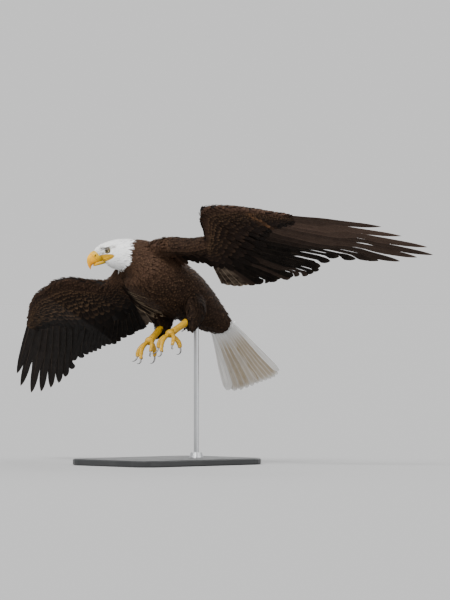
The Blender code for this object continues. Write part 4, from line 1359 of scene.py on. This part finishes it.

# %% [markdown]
# ## The tail
# Twelve broad white feathers fan from the tail root, turned a little to the left. The inner ones
# are painted with tan shade, which stands for the shade where their vanes lie over one another,
# and from below each outer feather lies over the one inside it.

# %% Tail quills
TAIL_PITCH, TAIL_SWING, TAIL_COUNT = math.radians(30.0), math.radians(5.0), 12
FAN_HALF, NARROW, WIDE = math.radians(22.0), 1.2, 2.05
TAIL_BASE, TAIL_LENGTH = np.array((0.0, 39.2, 0.1)), 22.4
# a tan that stands for painted shade on the tail
SHADE_TAN = rgb(0.37, 0.275, 0.155)


def on_tail(plan, height):
    """Points of a tail feather, across and back along the fan."""
    across, reach = plan[..., 0], plan[..., 1]
    height = height - 1.3 * (across / 11.0) ** 2 * np.clip(reach / 10.0, 0.0, 1.0)
    back = reach * math.cos(TAIL_SWING) - across * math.sin(TAIL_SWING)
    return TAIL_BASE + stacked(across * math.cos(TAIL_SWING) + reach * math.sin(TAIL_SWING),
                               back * math.cos(TAIL_PITCH) + height * math.sin(TAIL_PITCH),
                               height * math.cos(TAIL_PITCH) - back * math.sin(TAIL_PITCH))


tail = Quills(TAIL_COUNT)
for i in range(TAIL_COUNT):
    lean = (2 * i + 1) / TAIL_COUNT - 1
    angle = FAN_HALF * lean
    length = (TAIL_LENGTH - 3.0 * lean ** 4) / math.cos(angle)
    base = np.array((lean * 4.6, -1.2))
    tip = np.array((base[0] + length * math.sin(angle), length * math.cos(angle)))
    level = 0.11 * abs(lean) * TAIL_COUNT / 2
    # painted shade: the inner feathers, under more layers, get the most tan
    strength = smooth(1.0, 0.75, abs(lean)) * draw.uniform(0.65, 0.95)

    def shaded_vane(vane):
        """Painted tan shade between the shaft and the rim, clean at the root and at the tip."""
        side = np.abs(vane[:, 0] * 2 - 1)
        long = smooth(0.08, 0.40, vane[:, 1]) * smooth(0.995, 0.95, vane[:, 1])
        broad = smooth(0.02, 0.2, side) * smooth(1.0, 0.9, side)
        return mixed(WHITE, SHADE_TAN, long * (0.6 + 0.4 * broad) * strength)

    vanes = [tapered(most, 0.35, 0.8, 0.86, 2.6, 0.6)
             for most in ((NARROW, WIDE) if lean > 0 else (WIDE, NARROW))]
    # the rims and shafts take a little of the painted tan shade too
    tail.grow(i, base, tip, *vanes, lambda plan, lift: on_tail(plan, lift - level),
              (WHITE, mixed(WHITE, SHADE_TAN, 0.12), mixed(WHITE, SHADE_TAN, 0.1)), 0.0, 0.2, 3, shaded_vane)
tail.woven("tail_quills", PALE_QUILLS, "tail_feathers")

# %% [markdown]
# ## Feathers of the armpit
# Between a wing and the flank hang the axillars, the longest soft feathers of the underside. Those
# of the right side lie over the flank with pale edges. They grow in two tiers, and are bowed just
# enough to stand clear of the breast.

# %% Armpit feathers
LONG = Plume([(0, .4), (.1, .62), (.25, .85), (.45, 1), (.65, .98), (.8, .84), (.91, .58),
              (.97, .34)], 7, 0.05)
CREAM_EDGE = rgb(0.42, 0.32, 0.21)
ARMPIT_FRONT, ARMPIT_REAR = np.array((-10.5, 3.0, -2.6)), np.array((-13.0, 10.0, -2.6))
TIP_LINE = [(0.4, 8.4, -7.3), (-1.7, 13.8, -7.0), (-4.9, 18.3, -6.8), (-6.7, 17.5, -8.4)]
OVER_BELLY = unit((0.642, -0.599, -0.479))
AXILLARS, LAID_OFF = 9, 0.3
tiers = np.repeat((0.0, 1.0), AXILLARS)
shares = (np.tile(np.arange(AXILLARS), 2) + 0.5 * tiers) / (AXILLARS - 0.5)
roots = mixed(ARMPIT_FRONT, ARMPIT_REAR, shares)
count = len(roots)
short = (1 - 0.28 * tiers) * draw.uniform(0.93, 1.03, count)
ends = roots + (along_line(TIP_LINE, shares) - roots) * short[:, None]
way = unit(ends - roots)
outward = unit(OVER_BELLY - way * np.sum(way * OVER_BELLY, 1)[:, None])
at = np.linspace(0.2, 0.92, 12)
bow, tip_lift = np.empty(count), np.empty(count)
for i in range(count):
    line = roots[i] + (ends[i] - roots[i]) * at[:, None]
    found = [skin_tree.find_nearest(point)[:2] for point in line.tolist()]
    skin_at, normal = (np.array(part) for part in zip(*found))
    open_way = np.maximum(normal @ outward[i], 0.45)
    deep = np.sum((skin_at - line) * normal, 1) / open_way + LAID_OFF + 0.15 * tiers[i]
    tip_lift[i] = max(deep[-1], 0.1)
    bow[i] = max(0.0, np.max((deep - tip_lift[i] * at) / (4 * at * (1 - at))))
tone = COVERT_BROWN * draw.uniform(0.8, 1.5, (count, 1))
grown("axillars", LONG, {
    "root": roots, "normal": outward, "way": way,
    "length": np.linalg.norm(ends - roots, axis=1), "half": draw.uniform(0.85, 1.05, count),
    "low": 0.04 * shares, "high": tip_lift + 0.1 * shares, "bow": bow, "tone": tone,
    "fringe": mixed(tone * 2.0, CREAM_EDGE, draw.uniform(0.3, 1.0, count)),
}, BROWN, hug=False)

# %% [markdown]
# ## Tail coverts
# The last feathers of the body run on over the root of the tail and hide the quills there.
# They grow from the end of the skin but keep straight on, and those below turn up a little.

# %% Dress the root of the tail
rear = body_seeds["root"]
coverts = some(body_seeds, (rear[:, 1] > 36.4) & (np.abs(rear[:, 0]) < 6.0))
x, _, up = coverts["root"].T
coverts["way"] = stacked(x * 0.035 + 0.05, 0.87, -0.5 + 0.36 * smooth(0.6, -0.6, up))
coverts["length"] = draw.uniform(1.5, 2.2, len(x))
coverts["half"] = draw.uniform(0.45, 0.6, len(x))
coverts["low"], coverts["high"] = 0.05, draw.uniform(0.1, 0.3, len(x))
grown("tail_coverts", ROUND, coverts, BROWN, hug=False)

# %% [markdown]
# ## The bill
# The bill is bone in a sheath of horn. Its root is the cere, a band of soft skin with the
# nostrils in it, and the sheath starts at a step in front of that. The solids have the right
# outline but flat faces, so fine copies of them are rounded by the Subdivision Surface
# modifier, and the cere, the nostrils and the cutting edge are then pushed in and out.

# %% Shape the bill
BILL_YELLOW, BILL_ORANGE = rgb(0.82, 0.40, 0.001), rgb(0.72, 0.25, 0.001)
BILL_OLIVE, BILL_CREASE_SHADE = rgb(0.52, 0.31, 0.003), rgb(0.20, 0.085, 0.02)
HORN_TIP, NOSTRIL = rgb(0.50, 0.36, 0.13), rgb(0.035, 0.016, 0.008)
CERE_LENGTH = 1.3
# how far ahead, and the height of the cutting edge there
EDGE_LINE = ((2.2, 4.7, 5.6, 6.15, 6.5, 6.8), (-2.55, -2.65, -2.85, -3.05, -3.5, -4.25))


def refined(name, nodes, levels):
    """A smooth, finely divided copy of solids."""
    made = copied(name, nodes)
    chosen(made)
    bpy.ops.object.mode_set(mode='EDIT')
    bpy.ops.mesh.select_all(action='SELECT')
    bpy.ops.mesh.tris_convert_to_quads(face_threshold=math.radians(50),
                                       shape_threshold=math.radians(60))
    bpy.ops.object.mode_set(mode='OBJECT')
    with_modifier(made, 'SUBSURF', levels=levels, render_levels=levels)
    return made


def dressed(made, points, finish, *nodes):
    """Put a refined copy's points in place and let it stand for its solids."""
    set_points(made.data, points)
    chosen(made)
    bpy.ops.object.shade_smooth()
    shown(made, finish, *nodes)


def horn_finish(name, roughness, coat, shine):
    """Layered horn: long faint streaks, tiny scratches and a wet gloss over them."""
    made, wire = finish_of(name, roughness, coat_weight=coat, coat_roughness=0.22,
                           specular_ior_level=shine)
    clouds, fine = wire.spots(90.0, 3.0).step(0.3, 0.7), wire.spots(700.0, 3.0)
    wire.feed(base_color=wire.attribute("tone").tinted(clouds * 0.26 + fine * 0.16 + 0.76),
              roughness=clouds * 0.18 + (roughness - 0.08),
              normal=wire.relief(clouds * 0.4 + fine * 0.6, 0.0005, 0.5))
    return made, name


def upper_bill(x, ahead, up):
    """How far the skin of the upper bill is pushed out, its colour and its root."""
    front = (ahead - 4.53) * 0.849 - (up - 1.23) * 0.528
    over = up - np.interp(ahead, *EDGE_LINE)
    step, blunt = bump(front - CERE_LENGTH - 0.08, 0.09), smooth(6.6, 6.0, ahead)
    hole = np.hypot(((ahead - 4.28) * 0.80 + (up + 0.45) * 0.60) / 0.17,
                    ((up + 0.45) * 0.80 - (ahead - 4.28) * 0.60) / 0.40)
    nostril = smooth(1.15, 0.55, hole) * (np.abs(x) > 0.5)
    push = smooth(CERE_LENGTH + 0.1, CERE_LENGTH - 0.06, front) * 0.07 - step * 0.07
    push = push - nostril * 0.26 + bump(hole - 1.45, 0.3) * (np.abs(x) > 0.5) * 0.05
    push = push - bump(over - 0.34, 0.09) * blunt * 0.05
    push = push + bump(x, 0.35) * smooth(0.4, 0.8, over) * 0.05
    # painted shade along the cutting edge and in the step in front of the cere
    tone = painted(BILL_OLIVE, (BILL_YELLOW, smooth(0.0, 1.6, front)),
                   (BILL_ORANGE, smooth(1.4, 3.4, front) * smooth(2.6, 0.8, over) * 0.75),
                   (HORN_TIP, smooth(-3.2, -4.1, up) * 0.6),
                   (BILL_CREASE_SHADE, smooth(0.30, 0.08, over) * 0.7 * blunt),
                   (NOSTRIL, nostril), (BILL_CREASE_SHADE, step * 0.25))
    return push, tone, smooth(0.45, 0.0, front)


BILL_HORN = horn_finish("bill_horn", 0.46, 0.06, 0.25)
for name, levels in (("bill_upper", 4), ("bill_lower", 3)):
    piece = refined(name + "_horn", [name], levels)
    points, normals = shape_of(piece.data)
    place = carried(TO_HEAD, points)
    x, aft, up = place.T
    if name == "bill_upper":
        push, tone, root = upper_bill(x, -aft, up)
        place = place + steered(TO_HEAD, normals) * push[:, None]
    else:
        # painted shadow: the lower bill is darker under the upper one, most along its top edge
        tone = mixed(BILL_OLIVE, BILL_YELLOW, smooth(2.4, 4.6, -aft) * 0.6) * 0.85
        tone = mixed(tone, BILL_CREASE_SHADE, smooth(-2.95, -2.75, up) * 0.6)
        root = smooth(2.7, 2.1, -aft)
        place = place + stacked(x * -0.1 * smooth(-3.4, -2.8, up + 0.42 * smooth(-3.5, -2.75, up)),
                                0.0, 0.42 * smooth(-3.5, -2.75, up))
    place[:, 1] += root * 0.55
    colour_attribute(piece.data, "tone", tone)
    dressed(piece, carried(HEAD, place), BILL_HORN, name)

# %% [markdown]
# ## Eyes and lids
# An eagle's eye has a raised clear cornea, a pale iris with fine rays, and a round pupil. It
# sits in bare lids, built as one ring of skin round the way that the eye looks, open as an
# almond, with a thick rim and folds that run round it.

# %% Eyes and lids
EYE_ACROSS, EYE_RADIUS, INSET, CORNEA, IRIS_EDGE, PUPIL_EDGE = 2.32, 1.05, 0.03, 0.07, 0.47, 0.21
IRIS_DARK, IRIS_PALE = rgb(0.30, 0.21, 0.05), rgb(0.66, 0.58, 0.30)
EYE_DARK, PUPIL = rgb(0.012, 0.008, 0.006), rgb(0.003, 0.003, 0.003)
LID_RIM, LID_YELLOW = rgb(0.020, 0.014, 0.010), rgb(0.24, 0.18, 0.06)
LID_SHADOW_BROWN = rgb(0.06, 0.048, 0.036)

eye_finish, wire = finish_of("wet_eye", 0.12, coat_weight=0.5, coat_roughness=0.02,
                             specular_ior_level=0.15)
gaze = wire.attribute("gaze", 2)
deep = gaze.step(PUPIL_EDGE, IRIS_EDGE) * 0.5 + wire.spots(1400.0, 2.0) * 0.4
ball_colour = gaze.step(IRIS_EDGE - 0.03, IRIS_EDGE + 0.02).mixed(
    deep.mixed(IRIS_DARK, IRIS_PALE), EYE_DARK)
pupil = gaze.step(PUPIL_EDGE - 0.012, PUPIL_EDGE + 0.012)
wire.feed(base_color=pupil.mixed(PUPIL, ball_colour))

lid_finish, wire = finish_of("lid_skin", 0.5)
grain = wire.spots(1100.0, 3.0)
wire.feed(base_color=wire.attribute("tone").tinted(grain * 0.4 + 0.8),
          normal=wire.relief(grain, 0.0006, 0.6))

# the lids as rings: share of the way out, and how far they stand off the ball
shares = np.concatenate([[0.0], np.linspace(0.0, 1.0, 22) ** 1.3, [1.0]])
rises = 0.02 + 0.075 * bump(shares - 0.08, 0.09)
rises = rises + 0.022 * np.sin(shares * 26) * smooth(0.1, 0.3, shares)
rises[0], rises[-1] = -0.09, -0.2
rim, turn = np.meshgrid(shares, np.arange(64) / 64 * 2 * math.pi, indexing='ij')
opening = np.where(np.sin(turn) > 0, 0.24, 0.50) + 0.28 * (np.cos(turn) ** 2) ** 1.5
polar = (opening + (1.52 - opening) * rim)[..., None]
folds = 0.012 * np.sin(turn * 17 + rim * 9) * smooth(0.15, 0.4, rim)
radius = (EYE_RADIUS + rises[:, None] + folds)[..., None]
rows, columns = rim.shape
first = np.arange(columns)
after, last = (first + 1) % columns, (rows - 1) * columns
lid_faces = np.concatenate([grid_faces(rows, columns), stacked(first, first + last, after + last),
                            stacked(first, after + last, after)])
# painted shade: the upper lid darkened as if under the brow
upper_lid_shadow = smooth(0.0, 0.6, np.sin(turn)) * smooth(0.1, 0.4, rim)
behind = smooth(0.2, -0.5, np.cos(turn)) * smooth(0.25, 0.6, rim)
lid_tone = painted(LID_RIM, (LID_YELLOW, smooth(0.15, 0.5, rim)), (LID_SHADOW_BROWN, upper_lid_shadow * 0.9),
                   (SHADED_WHITE * 0.7, behind * 0.7)).reshape(-1, 3)
blank = np.zeros((len(lid_tone), 2))

for name, side in SIDES:
    middle = np.array((side * EYE_ACROSS, 0.0, 0.0))
    look_way = unit((side * 0.93, -0.36, -0.06))
    fore = unit(np.cross(look_way, (0.0, 0.0, 1.0))) * -side
    above = np.cross(fore, look_way)
    above = unit(above * np.sign(above[2]))
    ball = lump(IN_HEAD, middle.tolist(), (EYE_RADIUS,) * 3)
    ball.name = f"{name}_eye_ball"
    with_modifier(ball, 'SUBSURF', levels=2, render_levels=2)
    ways = unit(carried(TO_HEAD, shape_of(ball.data)[0]) - middle)
    angle = np.arccos(np.clip(ways @ look_way, -1.0, 1.0))
    bulge = CORNEA * smooth(0.72, 0.2, angle)
    place = middle + ways * (EYE_RADIUS - INSET + bulge)[:, None]
    mark = ball.data.attributes.new("gaze", 'FLOAT', 'POINT')
    mark.data.foreach_set("value", angle / (math.pi / 2))
    dressed(ball, carried(HEAD, place), (eye_finish, "eye"), "eye_" + name)
    around = fore * np.cos(turn)[..., None] + above * np.sin(turn)[..., None]
    place = middle + (look_way * np.cos(polar) + around * np.sin(polar)) * radius
    woven(f"{name}_lids", carried(HEAD, place.reshape(-1, 3)), lid_faces[:, ::-side], blank,
          blank, lid_tone, lid_tone, (lid_finish, "eye"))

# %% [markdown]
# ## Claws
# A claw is a cone of horn bent through a quarter turn, and it grows out of a cuff of skin. So
# the roots of refined copies are drawn back into the toes, and they darken towards the tip.

# %% Claws
CLAW_ROOT, CLAW_TIP, DRAWN_BACK = rgb(0.16, 0.155, 0.15), rgb(0.035, 0.035, 0.038), 0.4
claw_nodes = [f"{name}_claw_{toe}" for name, _ in SIDES for toe in ALL_TOES]
claws = refined("claws", claw_nodes, 3)
points, _ = shape_of(claws.data)
roots, ways = (np.array([line[-1][k] for line, _ in toe_lines.values()]) for k in (0, 1))
own = np.argmin(np.linalg.norm(points[:, None] - roots[None], axis=2), axis=1)
away = np.linalg.norm(points - roots[own], axis=1)
ahead = np.sum((points - roots[own]) * ways[own], axis=1)
draw_back = smooth(0.5, 0.05, np.maximum(ahead, away * 0.5))
colour_attribute(claws.data, "tone", mixed(CLAW_ROOT, CLAW_TIP, smooth(0.3, 3.2, away)))
dressed(claws, points - ways[own] * (draw_back * DRAWN_BACK)[:, None],
        horn_finish("claw_horn", 0.3, 0.5, 0.5), *claw_nodes)

# %% [markdown]
# ## Scales of the feet
# The front of each leg and the top of each toe carry broad plates, and everywhere else the
# skin is set with small round scales. Both are laid as the feathers are, from small patterns
# that follow the skin, so that no two are quite alike.

# %% Plates and scales
PLATE = Plume([(0, .86), (.3, 1), (.72, 1), (.9, .86)], 7, 0.02)
BUD = Plume([(0, .62), (.3, 1), (.72, .9)], 3, 0.02)
SCALE_YELLOW, SCALE_CREASE = rgb(0.55, 0.32, 0.018), rgb(0.26, 0.13, 0.025)
LEG_RADIUS, OVERLAP, BUD_GAP = 1.08, 1.25, 0.3

scale_finish, wire = finish_of("foot_scales", 0.42, coat_weight=0.12)
side, along = wire.vane()
edge = side.most(along * 1.05 - 0.05).step(0.7, 1.0)
grain = wire.spots(900.0, 3.0)
shade = grain * 0.25 + wire.spots(110.0, 3.0).step(0.3, 0.7) * 0.25 + 0.66
wire.feed(base_color=(edge * 0.6).mixed(wire.attribute("tone").tinted(shade),
                                        wire.attribute("fringe")),
          normal=wire.relief(grain * 0.6 + edge * 0.4, 0.0006, 0.6))
SCALES = (scale_finish, "leg_scales")


def plates_along(line, count, radius):
    """Seeds of plates on the upper side of a limb: its places, ways and tops."""
    line = np.array(line).reshape(len(line), 9)
    place, heading, top = along_line(line, (np.arange(count) + 0.3) / count).reshape(
        count, 3, 3).transpose(1, 0, 2)
    run = np.linalg.norm(np.diff(line[:, :3], axis=0), axis=1).sum()
    return {"root": place + unit(top) * radius, "way": unit(heading), "normal": unit(top),
            "length": np.full(count, run / count * OVERLAP),
            "half": np.full(count, radius * 1.15)}


sets = [plates_along(line, 13 if toe == "middle" else 10, radius)
        for (_, toe), (line, radius) in toe_lines.items()]
for name, side in SIDES:
    heel, foot = sided(side, HEEL), sided(side, FEET[name])
    shank = (foot - heel).normalized()
    front = Vector((1.0, 0.0, 0.0)).cross(shank).normalized()
    front = front if front.y < 0 else -front
    line = [(heel.lerp(foot, share), shank, front) for share in (0.2, 0.4, 0.6, 0.8, 1.05)]
    sets.append(plates_along(line, 11, LEG_RADIUS))
seeds = {key: np.concatenate([part[key] for part in sets]) for key in sets[0]}
count = len(seeds["root"])
lighter = draw.uniform(0.82, 1.18, (count, 1))
seeds.update(low=-0.03, high=draw.uniform(0.05, 0.08, count), tone=SCALE_YELLOW * lighter,
             fringe=SCALE_CREASE * lighter)
grown("foot_plates", PLATE, seeds, SCALES)

leg_search = search_tree(skin_points, np.flatnonzero(bare > 0.5).tolist())


def on_legs(points):
    """True on the bare legs and feet."""
    low = (points[:, 2] < -13.4) | ((points[:, 2] < -9.0) & (points[:, 1] < 17.6))
    return low & np.array([leg_search.find(point)[2] < 0.2 for point in points.tolist()])


places, normals = scattered(lambda points: np.full(len(points), BUD_GAP), on_legs, tries=5.0)
count = len(places)
lighter = draw.uniform(0.8, 1.15, (count, 1))
grown("foot_scales", BUD, {
    "root": places, "normal": normals,
    "way": np.array((0.0, -0.5, -0.8)) + draw.normal(0, 0.2, (count, 3)),
    "length": draw.uniform(0.30, 0.40, count), "half": draw.uniform(0.14, 0.19, count),
    "low": -0.02, "high": draw.uniform(0.03, 0.05, count),
    "tone": SCALE_YELLOW * lighter, "fringe": SCALE_CREASE * lighter,
}, SCALES)

# %% [markdown]
# ## The stand
# The stand should not draw the eye. Its rod is brushed steel, and the base is painted dark,
# with the faint orange-peel of sprayed paint. The solids are right, so only finishes are made.

# %% Finish the stand
STEEL_DARK, STEEL_PALE = rgb(0.42, 0.43, 0.44), rgb(0.66, 0.67, 0.68)
PAINT_DARK, PAINT_DUSTY = rgb(0.016, 0.017, 0.018), rgb(0.026, 0.027, 0.028)

steel, wire = finish_of("brushed_steel", 0.3, metallic=1.0)
where = wire.node("TexCoord", {}, 3)
stretched = wire.node("Mapping", {"Vector": where, "Scale": (900.0, 900.0, 12.0)})
brush = wire.spots(1.0, 3.0, stretched)
wire.feed(base_color=brush.mixed(STEEL_DARK, STEEL_PALE), roughness=brush * 0.25 + 0.2,
          normal=wire.relief(brush, 0.0002, 0.3))
paint, wire = finish_of("sprayed_paint", 0.45)
peel, dust = wire.spots(340.0, 2.0), wire.spots(14.0, 5.0).step(0.35, 0.75)
wire.feed(base_color=dust.mixed(PAINT_DARK, PAINT_DUSTY),
          roughness=dust * 0.12 + peel * 0.1 + 0.34, normal=wire.relief(peel, 0.0004, 0.25))
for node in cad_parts:
    if node.startswith("stand_"):
        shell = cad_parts[node].data
        shell.materials.clear()
        shell.materials.append(paint if "base" in node else steel)
        print(node, shell.materials[0].name)
